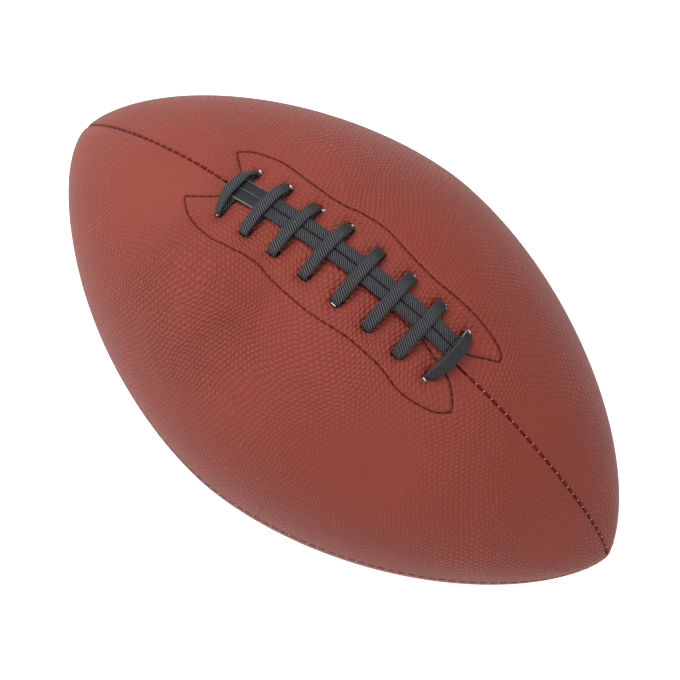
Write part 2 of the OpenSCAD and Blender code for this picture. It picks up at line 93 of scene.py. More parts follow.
# %% [markdown]
# ## The shape of the ball
# A football's outline is fuller than a circle's arc in the middle and comes to a blunt
# point. One formula gives the radius at each place along X, and a few more turn a place
# on the cover into a point in space: an angle round the ball, and a height above the
# leather. They are the frame's own formulas, so a new piece lies exactly where the packed
# one does. Only the fine panels run on a little closer to the points, where the four of
# them almost close.

# %% Ball profile
HALF_LENGTH = 143.0
MID_R = 82.5
BELLY_POWER = 1.8
POINT_POWER = 0.69
SEAM_COUNT = 4
SWELL_SHARE = 0.055
SWELL_POWER = 4
# Radius of the ball where the panels end
TIP_R = 0.6
LACING_DIP = 1.2
DIP_FLAT = 4.0
DIP_FADE = 22.0
DIP_END_FADE = 20.0
CROSS_COUNT = 8
CROSS_PITCH = 14.4
LACING_HALF = (CROSS_COUNT - 1) / 2 * CROSS_PITCH
LACING_END = LACING_HALF + 4.7
FINE_COUNT = 4001


def ease(t):
    """Goes from 0 to 1 with a soft start and end"""
    t = np.clip(t, 0, 1)
    return t * t * (3 - 2 * t)


def belly(x):
    """Radius of the ball at a place along X"""
    return MID_R * (1 - (np.abs(x) / HALF_LENGTH) ** BELLY_POWER) ** POINT_POWER


def belly_place(r):
    """Place along X where the ball has a radius"""
    return HALF_LENGTH * (1 - (r / MID_R) ** (1 / POINT_POWER)) ** (1 / BELLY_POWER)


def lean(x):
    """Angle by which the cover's outward direction leans towards a point of the ball"""
    u = np.abs(x) / HALF_LENGTH
    rise = MID_R * POINT_POWER * BELLY_POWER / HALF_LENGTH
    slope = rise * u ** (BELLY_POWER - 1) * (1 - u ** BELLY_POWER) ** (POINT_POWER - 1)
    return np.arctan(np.sign(x) * slope)


def cover_r(x, a, laced):
    """Radius of the cover at an angle from a panel's first seam, with its swell and its dip"""
    lobe = (1 + np.cos(SEAM_COUNT * a)) / 2
    swell = SWELL_SHARE * (np.abs(x) / HALF_LENGTH) ** SWELL_POWER * (1 - lobe * lobe)
    r = belly(x) * (1 + swell)
    if laced:
        along = 1 - ease((np.abs(x) - LACING_END) / DIP_END_FADE)
        across = 1 - ease((belly(x) * np.abs(a) - DIP_FLAT) / DIP_FADE)
        r = r - LACING_DIP * along * across
    return r


def skin(x, a, h, laced):
    """A point at an angle round the ball and a height above the cover"""
    r = cover_r(x, np.abs(a), laced) + h * np.cos(lean(x))
    return np.stack([x + h * np.sin(lean(x)), r * np.sin(a), r * np.cos(a)], axis=-1)


def laced_skin(x, side, h):
    """The same at a distance from the laced seam, measured along the cover"""
    return skin(x, side / belly(x), h, True)


def path_lengths(points):
    """Way along a line of points, from its start to each of them"""
    return np.concatenate([[0], np.cumsum(np.linalg.norm(np.diff(points, axis=0), axis=1))])


END_X = belly_place(TIP_R)
fine_x = END_X * np.sin(np.linspace(-math.pi / 2, math.pi / 2, FINE_COUNT))
fine_length = path_lengths(np.stack([fine_x, belly(fine_x)], axis=1))
fine_length = fine_length - fine_length[-1] / 2
print("from point to point over the cover, in mm:", round(2 * fine_length[-1]))

# %% [markdown]
# ## Helpers for meshes
# Every soft sheet here starts as a flat grid from one operator, and its vertices are then
# laid on the ball by a formula. The sheets are worked out in millimetres and shrunk to
# metres when they become a piece. A piece is an object at the origin that rides on the
# one body of the ball.

# %% Grid and piece helpers
def laid_grid(places, uv=None):
    """A grid whose vertices lie at places, an array of rows by columns, and its own uv in mm"""
    rows, columns = places.shape[:2]
    bm = bmesh.new()
    bmesh.ops.create_grid(bm, x_segments=columns - 1, y_segments=rows - 1, size=1)
    bm.verts.index_update()
    for vert, place in zip(bm.verts, places.reshape(-1, 3)):
        vert.co = place
    if uv is not None:
        layer = bm.loops.layers.uv.new("mm")
        flat = uv.reshape(-1, 2)
        for face in bm.faces:
            for loop in face.loops:
                loop[layer].uv = flat[loop.vert.index]
    bm.normal_update()
    return bm


def face_out(bm):
    """Turns the faces of an open sheet so that they look away from the ball's middle"""
    if sum(face.normal.dot(face.calc_center_median()) for face in bm.faces) < 0:
        bmesh.ops.reverse_faces(bm, faces=bm.faces[:])


def mesh_from(name, bm):
    """Turns a bmesh into a mesh"""
    mesh = bpy.data.meshes.new(name)
    bm.to_mesh(mesh)
    bm.free()
    return mesh


def add_piece(name, bm, material, slot, *nodes):
    """Makes a bmesh in mm a piece in metres, which replaces nodes of the frame"""
    mesh = mesh_from(name, bm)
    mesh.transform(Matrix.Scale(MM, 4))
    mesh.shade_smooth()
    mesh.materials.append(material)
    piece = new_object(name, mesh)
    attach(piece, "root")
    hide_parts(*nodes)
    print(name, "has", len(mesh.polygons), "faces")
    return piece


def smooth_line(points, steps):
    """A smooth line through given points, with its own points between them"""
    p = np.array(points, float)
    before = np.vstack([p[:1], p[:-2]])
    after = np.vstack([p[2:], p[-1:]])
    parts = []
    for a, b, c, d in zip(before, p[:-1], p[1:], after):
        t = np.linspace(0, 1, steps, endpoint=False)[:, None]
        parts.append((2 * b + t * (c - a) + t ** 2 * (2 * a - 5 * b + 4 * c - d)
                      + t ** 3 * (3 * b - a - 3 * c + d)) / 2)
    return np.vstack(parts + [p[-1:]])


def graded(*zones):
    """Places from 0 to 1, from zones of (end of the zone, step in it)"""
    places = [0.0]
    for end, step in zones:
        count = max(1, round((end - places[-1]) / step))
        places.extend(np.linspace(places[-1], end, count + 1)[1:])
    return np.array(places)


print("a graded row has", len(graded((0.2, 0.01), (1, 0.1))), "places")

# %% [markdown]
# ## Materials: one helper and the colours
# Each material below is a small network of nodes on a Principled surface. One function
# adds a node, sets it and links it. Colours are written as sRGB hex values and turned to
# linear by one function. Patterns read Object coordinates in metres, so their scale is one
# over a real size in metres, or a piece's own uv map in millimetres where they follow it.

# %% Node helper and colours
def linear(hex_code):
    """The linear colour of an sRGB hex value"""
    parts = [int(hex_code[i:i + 2], 16) / 255 for i in (1, 3, 5)]
    return tuple(c / 12.92 if c <= 0.04045 else ((c + 0.055) / 1.055) ** 2.4 for c in parts) + (1,)


def add_node(tree, kind, sockets=None, **settings):
    """Adds a node, sets it, and fills its sockets with values or links; gives its outputs"""
    node = tree.nodes.new("ShaderNode" + kind)
    for name, value in settings.items():
        setattr(node, name, value)
    for name, value in (sockets or {}).items():
        if isinstance(value, bpy.types.NodeSocket):
            tree.links.new(value, node.inputs[name])
        else:
            node.inputs[name].default_value = value
    return node.outputs


def new_material(name):
    """An empty material and its node tree"""
    material = bpy.data.materials.new(name)
    material.use_nodes = True
    material.node_tree.nodes.clear()
    return material, material.node_tree


print("a brick red in linear light:", [round(c, 3) for c in linear("#97473a")])

# %% [markdown]
# ### Pebbles of the leather
# The cover is composite leather under a thin matt coat. Rounded pebbles are pressed into
# it, about 2 mm apart and in rows, and give the hand its grip. Voronoi cells would be too
# irregular for them. Here three waves that cross at 60 degrees make the rows, on the
# panel's own uv map in millimetres, and a power makes each dome wide and each valley
# narrow. Three noises bend the rows, because the leather was pulled over the ball, and a
# slow noise and a list of spots make the pebbles flatter or deeper from place to place.

# %% Pebbles of the leather
PEBBLE_MM = 2.1
PEBBLE_HEIGHT_MM = 0.55
DOME_POWER = 0.55
ROW_TURNS = (20, 80, 140)
# Lowest and highest sum of the three waves
WAVES_LEAST = -1.5
WAVES_MOST = 3.0
GRAIN_MM = 0.3
GRAIN_SHARE = 0.1
SLOW_MM = 38
# Size of each noise that bends the rows of pebbles, and how far it shifts them, in mm
BENDS = [(40, 12), (9, 1.6), (3.5, 0.5)]
# Places in mm where the pebbles are flatter or deeper, how far round them, and how deep
DEPTH_SPOTS = [((-84, -12, 58), 34, 0.25), ((54, -50, 52), 34, 0.25), ((95, 6, 52), 22, 0.25),
               ((122, -16, 28), 18, 0.25), ((-40, -45, 62), 46, 1.8), ((22, 32, 75), 34, 0.6),
               ((-45, 28, 70), 26, 0.75), ((60, -22, 64), 30, 0.65), ((10, -60, 56), 26, 0.75)]
SPOT_CORE_SHARE = 0.3

leather, tree = new_material("pebbled_composite_leather")
place = add_node(tree, "TexCoord")["Object"]
sheet = add_node(tree, "UVMap", uv_map="mm")[0]
bent = sheet
for size_mm, shift_mm in BENDS:
    bend_noise = add_node(tree, "TexNoise", {"Vector": sheet, "Scale": 1 / size_mm, "Detail": 0},
                          noise_dimensions="2D")
    middle = add_node(tree, "VectorMath", {0: bend_noise["Color"], 1: (0.5, 0.5, 0.5)},
                      operation="SUBTRACT")[0]
    shift = add_node(tree, "VectorMath", {0: middle, "Scale": shift_mm}, operation="SCALE")[0]
    bent = add_node(tree, "VectorMath", {0: bent, 1: shift}, operation="ADD")[0]
row_beat = 2 * math.pi / (PEBBLE_MM * math.sqrt(3) / 2)
waves = 0.0
for turn_deg in ROW_TURNS:
    turn = math.radians(turn_deg)
    way_out = (row_beat * math.cos(turn), row_beat * math.sin(turn), 0)
    phase = add_node(tree, "VectorMath", {0: bent, 1: way_out}, operation="DOT_PRODUCT")["Value"]
    wave = add_node(tree, "Math", {0: phase}, operation="COSINE")[0]
    waves = add_node(tree, "Math", {0: wave, 1: waves}, operation="ADD")[0]
rise = add_node(tree, "MapRange", {"Value": waves, "From Min": WAVES_LEAST, "From Max": WAVES_MOST})[0]
pebble = add_node(tree, "Math", {0: rise, 1: DOME_POWER}, operation="POWER")[0]
grain = add_node(tree, "TexNoise", {"Vector": place, "Scale": 1 / (GRAIN_MM * MM), "Detail": 2})["Fac"]
slow = add_node(tree, "TexNoise", {"Vector": place, "Scale": 1 / (SLOW_MM * MM), "Detail": 2})["Fac"]
depth = add_node(tree, "MapRange", {"Value": slow, "From Min": 0.35, "From Max": 0.6,
                                    "To Min": 0.6, "To Max": 1.0})[0]
for spot, reach, least in DEPTH_SPOTS:
    off = add_node(tree, "VectorMath", {0: place, 1: [v * MM for v in spot]}, operation="DISTANCE")["Value"]
    kept = add_node(tree, "MapRange", {"Value": off, "From Min": SPOT_CORE_SHARE * reach * MM,
                                       "From Max": reach * MM, "To Min": least, "To Max": 1.0},
                    interpolation_type="SMOOTHSTEP")[0]
    depth = add_node(tree, "Math", {0: depth, 1: kept}, operation="MULTIPLY")[0]
raised = add_node(tree, "Math", {0: pebble, 1: depth}, operation="MULTIPLY")[0]
height = add_node(tree, "Math", {0: grain, 1: GRAIN_SHARE, 2: raised}, operation="MULTIPLY_ADD")[0]
pebble_bump = add_node(tree, "Bump", {"Height": height, "Strength": 1.0,
                                      "Distance": PEBBLE_HEIGHT_MM * MM})[0]
print("pebbles to a centimetre:", round(10 / PEBBLE_MM, 1))

# %% [markdown]
# ### Creases of the leather
# Where the strap pulls at a hole, the leather throws creases that run out from it. The
# largest are in the mesh, further down. The fine ones are narrower than the cells of that
# mesh, so they are a bump. Each panel carries a vector that says the direction from the
# nearest hole and, in its third part, the distance. A noise over that vector makes
# streaks that run outwards, and the distance makes them fade.

# %% Creases of the leather
CREASE_HEIGHT_MM = 0.24
CREASE_REACH_MM = 5.5
STREAK_SCALE = 2.6

pull = add_node(tree, "Attribute", attribute_name="pull")["Vector"]
pull_parts = add_node(tree, "SeparateXYZ", {0: pull})
streaks = add_node(tree, "TexNoise", {"Vector": pull, "Scale": STREAK_SCALE, "Detail": 1})["Fac"]
reach = add_node(tree, "MapRange", {"Value": pull_parts["Z"], "From Min": 0.0, "From Max": 1.0,
                                    "To Min": 1.0, "To Max": 0.0}, interpolation_type="SMOOTHSTEP")[0]
crease = add_node(tree, "MapRange", {"Value": streaks, "From Min": 0.34, "From Max": 0.6},
                  interpolation_type="SMOOTHSTEP")[0]
crease_dip = add_node(tree, "Math", {0: 1.0, 1: crease}, operation="SUBTRACT")[0]
creased = add_node(tree, "Math", {0: crease_dip, 1: reach}, operation="MULTIPLY")[0]
bump = add_node(tree, "Bump", {"Height": creased, "Strength": 1.0, "Distance": CREASE_HEIGHT_MM * MM,
                               "Normal": pebble_bump}, invert=True)[0]
print("creases reach out from a hole, in mm:", CREASE_REACH_MM)

# %% [markdown]
# ### Colour of the leather
# The coat is a brick red. Its valleys and creases are painted darker, as painted shade,
# and the valleys are rougher. A slow mottle keeps it from looking painted, and round the
# lacing it is a trace redder, so two reds are mixed by the distance from there. The reds
# were chosen beside the photograph, under the lamps of this scene.

# %% Colour of the leather
LEATHER_TOP = linear("#97473a")
LEATHER_TOP_LACING = linear("#984539")
# Dark red of the slow mottle, and also of the painted shade in the valleys and creases
LEATHER_MOTTLE_AND_SHADE = linear("#6e2a1f")
# Half length and half width in mm of the redder ellipse round the lacing
REDDER_HALF_X_MM = 90
REDDER_HALF_Y_MM = 42
MOTTLE_SHARE = 0.35
# Mean of the pebble pattern: flat leather gets as much painted shade as a pebble at this height
MEAN_PEBBLE = 0.52
# How much painted shade darkens the valleys of the pebbles and the creases
VALLEY_PAINTED_SHADE = 0.4
CREASE_PAINTED_SHADE = 0.35
VALLEY_ROUGHNESS = 0.62
TOP_ROUGHNESS = 0.48

axes = add_node(tree, "SeparateXYZ", {0: place})
along_share = add_node(tree, "Math", {0: axes["X"], 1: REDDER_HALF_X_MM * MM}, operation="DIVIDE")[0]
across_share = add_node(tree, "Math", {0: axes["Y"], 1: REDDER_HALF_Y_MM * MM}, operation="DIVIDE")[0]
along_square = add_node(tree, "Math", {0: along_share, 1: 2.0}, operation="POWER")[0]
square = add_node(tree, "Math", {0: across_share, 1: across_share, 2: along_square},
                  operation="MULTIPLY_ADD")[0]
near = add_node(tree, "MapRange", {"Value": square, "From Min": 0.1, "From Max": 1.1,
                                   "To Min": 1.0, "To Max": 0.0},
                interpolation_type="SMOOTHSTEP")[0]
front = add_node(tree, "Math", {0: axes["Z"], 1: 0.0}, operation="GREATER_THAN")[0]
lacing_near = add_node(tree, "Math", {0: near, 1: front}, operation="MULTIPLY")[0]
top = add_node(tree, "MixRGB", {0: lacing_near, 1: LEATHER_TOP, 2: LEATHER_TOP_LACING})[0]
cloudy = add_node(tree, "MixRGB", {0: slow, 1: LEATHER_MOTTLE_AND_SHADE, 2: top})[0]
mottled = add_node(tree, "MixRGB", {0: MOTTLE_SHARE, 1: top, 2: cloudy})[0]
# Painted shade: the colour darkens towards the pebbles' valleys and in the creases, where less light falls
valley = add_node(tree, "Math", {0: MEAN_PEBBLE, 1: pebble}, operation="SUBTRACT")[0]
dark = add_node(tree, "Math", {0: valley, 1: depth, 2: 1 - MEAN_PEBBLE}, operation="MULTIPLY_ADD")[0]
dark = add_node(tree, "Math", {0: dark, 1: VALLEY_PAINTED_SHADE}, operation="MULTIPLY")[0]
dark = add_node(tree, "Math", {0: creased, 1: CREASE_PAINTED_SHADE, 2: dark}, operation="MULTIPLY_ADD",
                use_clamp=True)[0]
color = add_node(tree, "MixRGB", {0: dark, 1: mottled, 2: LEATHER_MOTTLE_AND_SHADE})[0]
rough = add_node(tree, "MapRange", {"Value": raised, "To Min": VALLEY_ROUGHNESS,
                                    "To Max": TOP_ROUGHNESS})[0]
surface = add_node(tree, "BsdfPrincipled", {"Base Color": color, "Roughness": rough, "Normal": bump,
                                            "IOR": 1.42, "Specular IOR Level": 0.26})
add_node(tree, "OutputMaterial", {"Surface": surface[0]})
print("nodes of the leather:", len(tree.nodes))

# %% [markdown]
# ### Braid of the strap
# The lace is a flat braided cord with a vinyl coat. Each face shows one band of slanted
# strands with small nubs on them. Real strands are about half a millimetre apart, finer
# than the picture, so they are drawn 1 mm apart. The strap's own uv map is in
# millimetres, round it and along it, so the strands follow every bend. The mesh says with
# one attribute how steep the strands are, and with another how much of them shows: where
# the strap was pulled hard, its coat is smooth.

# %% Braid of the strap
BRAID_STEP_MM = 1.0
BRAID_NUB_MM = 0.85
NUB_SHARE = 0.12
BRAID_HEIGHT_MM = 0.32
# A low power, so that the strands reach almost to the edge of a face
FACE_POWER = 0.25
SMOOTH_LEVEL = 0.7
SPECK_MM = 0.35
SPECK_SHARE = 0.15
# The pattern repeats over this length round the strap, a little more than its girth
BRAID_ROUND_MM = 11.3

strap_coat, tree = new_material("coated_braided_strap")
parts = add_node(tree, "SeparateXYZ", {0: add_node(tree, "UVMap", uv_map="mm")[0]})
on_face = add_node(tree, "Math", {0: parts["X"], 1: BRAID_ROUND_MM / 2}, operation="MODULO")[0]
across = add_node(tree, "Math", {0: on_face, 1: BRAID_ROUND_MM / 4}, operation="SUBTRACT")[0]
slant = add_node(tree, "Attribute", attribute_name="slant")["Fac"]
along_mm = add_node(tree, "Math", {0: across, 1: slant, 2: parts["Y"]}, operation="MULTIPLY_ADD")[0]
strand_angle = add_node(tree, "Math", {0: along_mm, 1: math.pi / BRAID_STEP_MM}, operation="MULTIPLY")[0]
strand_wave = add_node(tree, "Math", {0: strand_angle}, operation="SINE")[0]
strand_round = add_node(tree, "Math", {0: strand_wave}, operation="ABSOLUTE")[0]
nub_angle = add_node(tree, "Math", {0: across, 1: 2 * math.pi / BRAID_NUB_MM}, operation="MULTIPLY")[0]
nub = add_node(tree, "Math", {0: nub_angle}, operation="SINE")[0]
face_angle = add_node(tree, "Math", {0: on_face, 1: 2 * math.pi / BRAID_ROUND_MM}, operation="MULTIPLY")[0]
face_round = add_node(tree, "Math", {0: face_angle}, operation="SINE")[0]
face_soft = add_node(tree, "Math", {0: face_round, 1: FACE_POWER}, operation="POWER")[0]
nubbed = add_node(tree, "Math", {0: nub, 1: NUB_SHARE, 2: strand_round}, operation="MULTIPLY_ADD")[0]
braid = add_node(tree, "Math", {0: nubbed, 1: face_soft}, operation="MULTIPLY")[0]
braided = add_node(tree, "Attribute", attribute_name="braided")["Fac"]
flat_share = add_node(tree, "Math", {0: 1.0, 1: braided}, operation="SUBTRACT")[0]
filled = add_node(tree, "Math", {0: flat_share, 1: SMOOTH_LEVEL}, operation="MULTIPLY")[0]
relief = add_node(tree, "Math", {0: braid, 1: braided, 2: filled}, operation="MULTIPLY_ADD")[0]
place = add_node(tree, "TexCoord")["Object"]
speck = add_node(tree, "TexNoise", {"Vector": place, "Scale": 1 / (SPECK_MM * MM), "Detail": 2})["Fac"]
height = add_node(tree, "Math", {0: speck, 1: SPECK_SHARE, 2: relief}, operation="MULTIPLY_ADD")[0]
bump = add_node(tree, "Bump", {"Height": height, "Strength": 1.0, "Distance": BRAID_HEIGHT_MM * MM})[0]
print("strands of the braid to a centimetre:", round(10 / BRAID_STEP_MM, 1))

# %% [markdown]
# ### Colour of the strap
# The coat is black. Its colour follows the relief of the braid: the dark between the
# strands is painted shade, and the grey tops of the strands are a painted highlight. A
# second mix adds a painted highlight along the two edges, which shows most where the coat
# is smooth.

# %% Colour of the strap
EDGE_MM = 0.5
EDGE_END_MM = 0.9
# Strength of the painted highlight along the strap's edges
EDGE_HIGHLIGHT_SHARE = 0.9
# How much of the painted edge highlight stays where the braid shows
BRAIDED_EDGE_HIGHLIGHT_SHARE = 0.15
# The grey of the strand tops is a painted highlight and the near-black between them painted shade; the
# smooth coat is the strap's own black
STRAP_STRAND_HIGHLIGHT = linear("#58585d")
STRAP_STRAND_SHADE = linear("#17181a")
STRAP_SMOOTH = linear("#1f2022")
# A light grey for the painted highlight along the strap's edges
STRAP_EDGE_HIGHLIGHT = linear("#7f7e83")

# Painted highlight and painted shade: from dark between the strands to grey on their tops
shade = add_node(tree, "MapRange", {"Value": relief, "From Min": 0.4, "From Max": 0.95})[0]
woven = add_node(tree, "MixRGB", {0: shade, 1: STRAP_STRAND_SHADE, 2: STRAP_STRAND_HIGHLIGHT})[0]
over = add_node(tree, "MixRGB", {0: braided, 1: STRAP_SMOOTH, 2: woven})[0]
# Painted highlight: a light band along both edges of the strap, weaker where the braid shows
off_edge = add_node(tree, "Math", {0: parts["X"], 1: BRAID_ROUND_MM / 4}, operation="PINGPONG")[0]
edge = add_node(tree, "MapRange", {"Value": off_edge, "From Min": EDGE_MM, "From Max": EDGE_END_MM,
                                   "To Min": EDGE_HIGHLIGHT_SHARE, "To Max": 0.0}, interpolation_type="SMOOTHSTEP")[0]
highlight_where_smooth = add_node(tree, "MapRange", {"Value": braided, "From Min": 0.1, "From Max": 0.25,
                                   "To Min": 1.0, "To Max": BRAIDED_EDGE_HIGHLIGHT_SHARE})[0]
edge = add_node(tree, "Math", {0: edge, 1: highlight_where_smooth}, operation="MULTIPLY")[0]
color = add_node(tree, "MixRGB", {0: edge, 1: over, 2: STRAP_EDGE_HIGHLIGHT})[0]
surface = add_node(tree, "BsdfPrincipled", {"Base Color": color, "Roughness": 0.5, "Normal": bump,
                                            "IOR": 1.5, "Specular IOR Level": 0.22})
add_node(tree, "OutputMaterial", {"Surface": surface[0]})
print("nodes of the strap:", len(tree.nodes))

# %% [markdown]
# ### Threads, cloth and rubber
# The facing is sewn with bonded nylon of a dark red-brown and the seams with dark red
# thread: both are twisted, so a fine slanted ripple runs round them. Pale knots show
# between the stitches of a seam, and an attribute of the mesh says where. Facing, linings
# and tongue are plain-woven cotton. Bladder and valve are moulded rubber, matt with a
# faint mottle. Each kind has one function, because only the two colours change.

# %% Threads, cloth and rubber
# Length in mm over which the ripple of a thread turns by one radian
TWIST_RADIAN_MM = 0.7
# A diagonal wave turns by this many radians to one unit of its scale
WAVE_RADIANS = 10
FUZZ_MM = 0.2
THREAD_RELIEF_MM = 0.05
KNOT_COLOR = linear("#dba595")
YARN_MM = 0.5
YARN_RELIEF_MM = 0.12
CLOUD_MM = 9
RUBBER_GRAIN_MM = 0.4
RUBBER_RELIEF_MM = 0.05


def thread_material(name, light, dark):
    """Twisted thread: a slanted ripple between two colours"""
    material, tree = new_material(name)
    place = add_node(tree, "TexCoord")["Object"]
    twist_scale = 1 / (WAVE_RADIANS * TWIST_RADIAN_MM * MM)
    twist = add_node(tree, "TexWave", {"Vector": place, "Scale": twist_scale, "Distortion": 1.5},
                     bands_direction="DIAGONAL")["Fac"]
    fuzz = add_node(tree, "TexNoise", {"Vector": place, "Scale": 1 / (FUZZ_MM * MM)})["Fac"]
    knot = add_node(tree, "Attribute", attribute_name="knot")["Fac"]
    twisted = add_node(tree, "MixRGB", {0: twist, 1: dark, 2: light})[0]
    color = add_node(tree, "MixRGB", {0: knot, 1: twisted, 2: KNOT_COLOR})[0]
    height = add_node(tree, "Math", {0: fuzz, 1: 0.3, 2: twist}, operation="MULTIPLY_ADD")[0]
    bump = add_node(tree, "Bump", {"Height": height, "Strength": 0.6, "Distance": THREAD_RELIEF_MM * MM})[0]
    surface = add_node(tree, "BsdfPrincipled", {"Base Color": color, "Roughness": 0.6, "Normal": bump,
                                                "Specular IOR Level": 0.2})
    add_node(tree, "OutputMaterial", {"Surface": surface[0]})
    return material


def cloth_material(name, light, dark):
    """Plain weave: yarns that pass over and under each other along X and round the ball"""
    material, tree = new_material(name)
    axes = add_node(tree, "SeparateXYZ", {0: add_node(tree, "TexCoord")["Object"]})
    round_way = add_node(tree, "Math", {0: axes["Y"], 1: axes["Z"]}, operation="ADD")[0]
    warp_angle = add_node(tree, "Math", {0: axes["X"], 1: math.pi / (YARN_MM * MM)},
                          operation="MULTIPLY")[0]
    weft_angle = add_node(tree, "Math", {0: round_way, 1: math.pi / (YARN_MM * MM)},
                          operation="MULTIPLY")[0]
    warp = add_node(tree, "Math", {0: warp_angle}, operation="SINE")[0]
    weft = add_node(tree, "Math", {0: weft_angle}, operation="SINE")[0]
    over = add_node(tree, "Math", {0: warp, 1: weft}, operation="MULTIPLY")[0]
    yarn = add_node(tree, "MapRange", {"Value": over, "From Min": -1.0, "From Max": 1.0})[0]
    color = add_node(tree, "MixRGB", {0: yarn, 1: dark, 2: light})[0]
    bump = add_node(tree, "Bump", {"Height": yarn, "Strength": 0.7, "Distance": YARN_RELIEF_MM * MM})[0]
    surface = add_node(tree, "BsdfPrincipled", {"Base Color": color, "Roughness": 0.85, "Normal": bump,
                                                "Sheen Weight": 0.2})
    add_node(tree, "OutputMaterial", {"Surface": surface[0]})
    return material


def rubber_material(name, light, dark):
    """Moulded rubber: matt, with a faint mottle and a fine skin"""
    material, tree = new_material(name)
    place = add_node(tree, "TexCoord")["Object"]
    mottle = add_node(tree, "TexNoise", {"Vector": place, "Scale": 1 / (CLOUD_MM * MM), "Detail": 3})["Fac"]
    grain = add_node(tree, "TexNoise", {"Vector": place, "Scale": 1 / (RUBBER_GRAIN_MM * MM)})["Fac"]
    color = add_node(tree, "MixRGB", {0: mottle, 1: dark, 2: light})[0]
    rough = add_node(tree, "MapRange", {"Value": mottle, "To Min": 0.55, "To Max": 0.75})[0]
    bump = add_node(tree, "Bump", {"Height": grain, "Strength": 0.4, "Distance": RUBBER_RELIEF_MM * MM})[0]
    surface = add_node(tree, "BsdfPrincipled", {"Base Color": color, "Roughness": rough, "Normal": bump})
    add_node(tree, "OutputMaterial", {"Surface": surface[0]})
    return material


facing_thread = thread_material("bonded_nylon_thread", linear("#602015"), linear("#3c130c"))
seam_thread = thread_material("waxed_seam_thread", linear("#6a170d"), linear("#500e07"))
facing_cloth = cloth_material("woven_cotton_facing", linear("#f2efea"), linear("#b9b2a6"))
lining_cloth = cloth_material("woven_cotton_lining", linear("#ddd8cd"), linear("#a49c8e"))
bladder_rubber = rubber_material("moulded_butyl_rubber", linear("#40383a"), linear("#2c2628"))
valve_rubber = rubber_material("moulded_valve_rubber", linear("#232326"), linear("#151518"))
print("materials so far:", len(bpy.data.materials))

# %% [markdown]
# ## Edges of a panel
# A panel is one quarter of the cover. Its two long edges roll over a radius of less than
# a millimetre and turn in, where they are sewn to the next panel. A stitch pulls the two
# edges together every few millimetres, so the crease opens and closes along the seam, and
# the leather rises a little where it is pinched. Near the points of the ball the edges
# roll more softly and the crease closes, which makes the small notch in the outline.
# Rolled edges could be a Bevel, but a profile of a few points follows the seam exactly.

# %% Edges of a panel
COVER_T = 1.8
EDGE_T = 0.85
ROLL_R = 0.7
# How much softer the roll gets near the points, below which radius of the ball, and over
# how much of that radius
TIP_ROLL = 1.5
TIP_ROLL_R = 12.0
TIP_ROLL_FADE = 5.0
FLAP_DEPTH = 4.2
SKIVE_R = 5.0
SKIVE_FADE = 4
CLOSED_GAP = 0.05
OPEN_GAP = 0.36
SLIT_GAP = 0.3
SEAM_PITCH = 4.1
SEAM_START = 57.7
PINCH_START = 0.6
PINCH_FADE = 0.3
PINCH_RISE = 0.14
# Depth at which the rise of a pinched edge ends, in radii of the roll
PINCH_END = 1.6
COLUMN_STEP = 0.66
ROLL_ANGLES = np.radians([0, 30, 60, 90])
EDGE_ROWS = len(ROLL_ANGLES) + 2


def pinch(x):
    """From 0 along a stitch to 1 where the next one starts"""
    beat = np.interp(x, fine_x, fine_length) / SEAM_PITCH
    return ease((2 * np.abs(beat - np.floor(beat) - 0.5) - PINCH_START) / PINCH_FADE)


def near_point(x):
    """From 0 on most of the ball to 1 at its points"""
    return ease((TIP_ROLL_R - belly(x)) / TIP_ROLL_FADE)


def seam_gap(x, laced_seam):
    """Half of the gap between two panels: it closes where a stitch pinches them"""
    gap = OPEN_GAP - (OPEN_GAP - CLOSED_GAP) * np.maximum(pinch(x), near_point(x))
    if laced_seam:
        gap = np.where(np.abs(x) < SEAM_START, SLIT_GAP, gap)
    return gap


def edge_roll(x):
    """Radius of a panel's rolled edge"""
    return ROLL_R + TIP_ROLL * near_point(x)


def edge_places(x, laced, first):
    """Rows of points from a panel's turned-in edge to the start of its face"""
    k = np.minimum(1, belly(x) / SKIVE_R)
    gap = seam_gap(x, laced and first) * k
    roll = edge_roll(x) * k
    side_depth = [(gap, FLAP_DEPTH * k), (gap, (FLAP_DEPTH * k + roll) / 2)]
    side_depth += [(gap + roll * (1 - np.cos(t)), roll * (1 - np.sin(t))) for t in ROLL_ANGLES]
    rise = PINCH_RISE * k * pinch(x)
    if laced and first:
        rise = np.where(np.abs(x) < SEAM_START, 0, rise)
    rows = []
    for b, d in side_depth:
        d = d - rise * ease(PINCH_END - d / ROLL_R)
        a = np.arcsin(b / belly(x))
        r = cover_r(x, a if first else math.pi / 2 - a, laced) - d * np.cos(lean(x))
        along = np.sqrt(r * r - b * b)
        pair = (b, along) if first else (along, b)
        rows.append(np.stack([x - d * np.sin(lean(x)), *pair], axis=-1))
    return rows


column_count = round(2 * fine_length[-1] / COLUMN_STEP)
panel_x = np.interp(np.linspace(fine_length[0], fine_length[-1], column_count), fine_length, fine_x)
print("columns of a panel:", column_count)

# %% [markdown]
# ## Lace holes
# Eight pairs of holes take the strap. Each is a rounded oblong, and some are stretched
# outwards by the pull of the strap. Cutting them with a Boolean would leave ragged faces,
# so one function gives the distance from the nearest hole, which is negative inside it.
# The panels and the facings are cut by that function, and the dents follow it. Each place
# was chosen beside the photograph, so it lies up to about 2 mm from an even spacing.

# %% Lace holes
# Place of each hole along the ball, and of the strap's outer leg from the seam
HOLE_X = {1: [-50.4, -36.9, -22.6, -8.2, 6.7, 21.2, 35.7, 49.7],
          -1: [-50.4, -37.1, -23.3, -8.4, 6.9, 21.3, 35.7, 49.0]}
LEG_SIDE = {1: [9.7, 11.5, 11.8, 13.0, 12.9, 13.5, 13.5, 11.8],
            -1: [12.6, 13.5, 13.6, 13.6, 13.4, 13.4, 13.3, 11.2]}
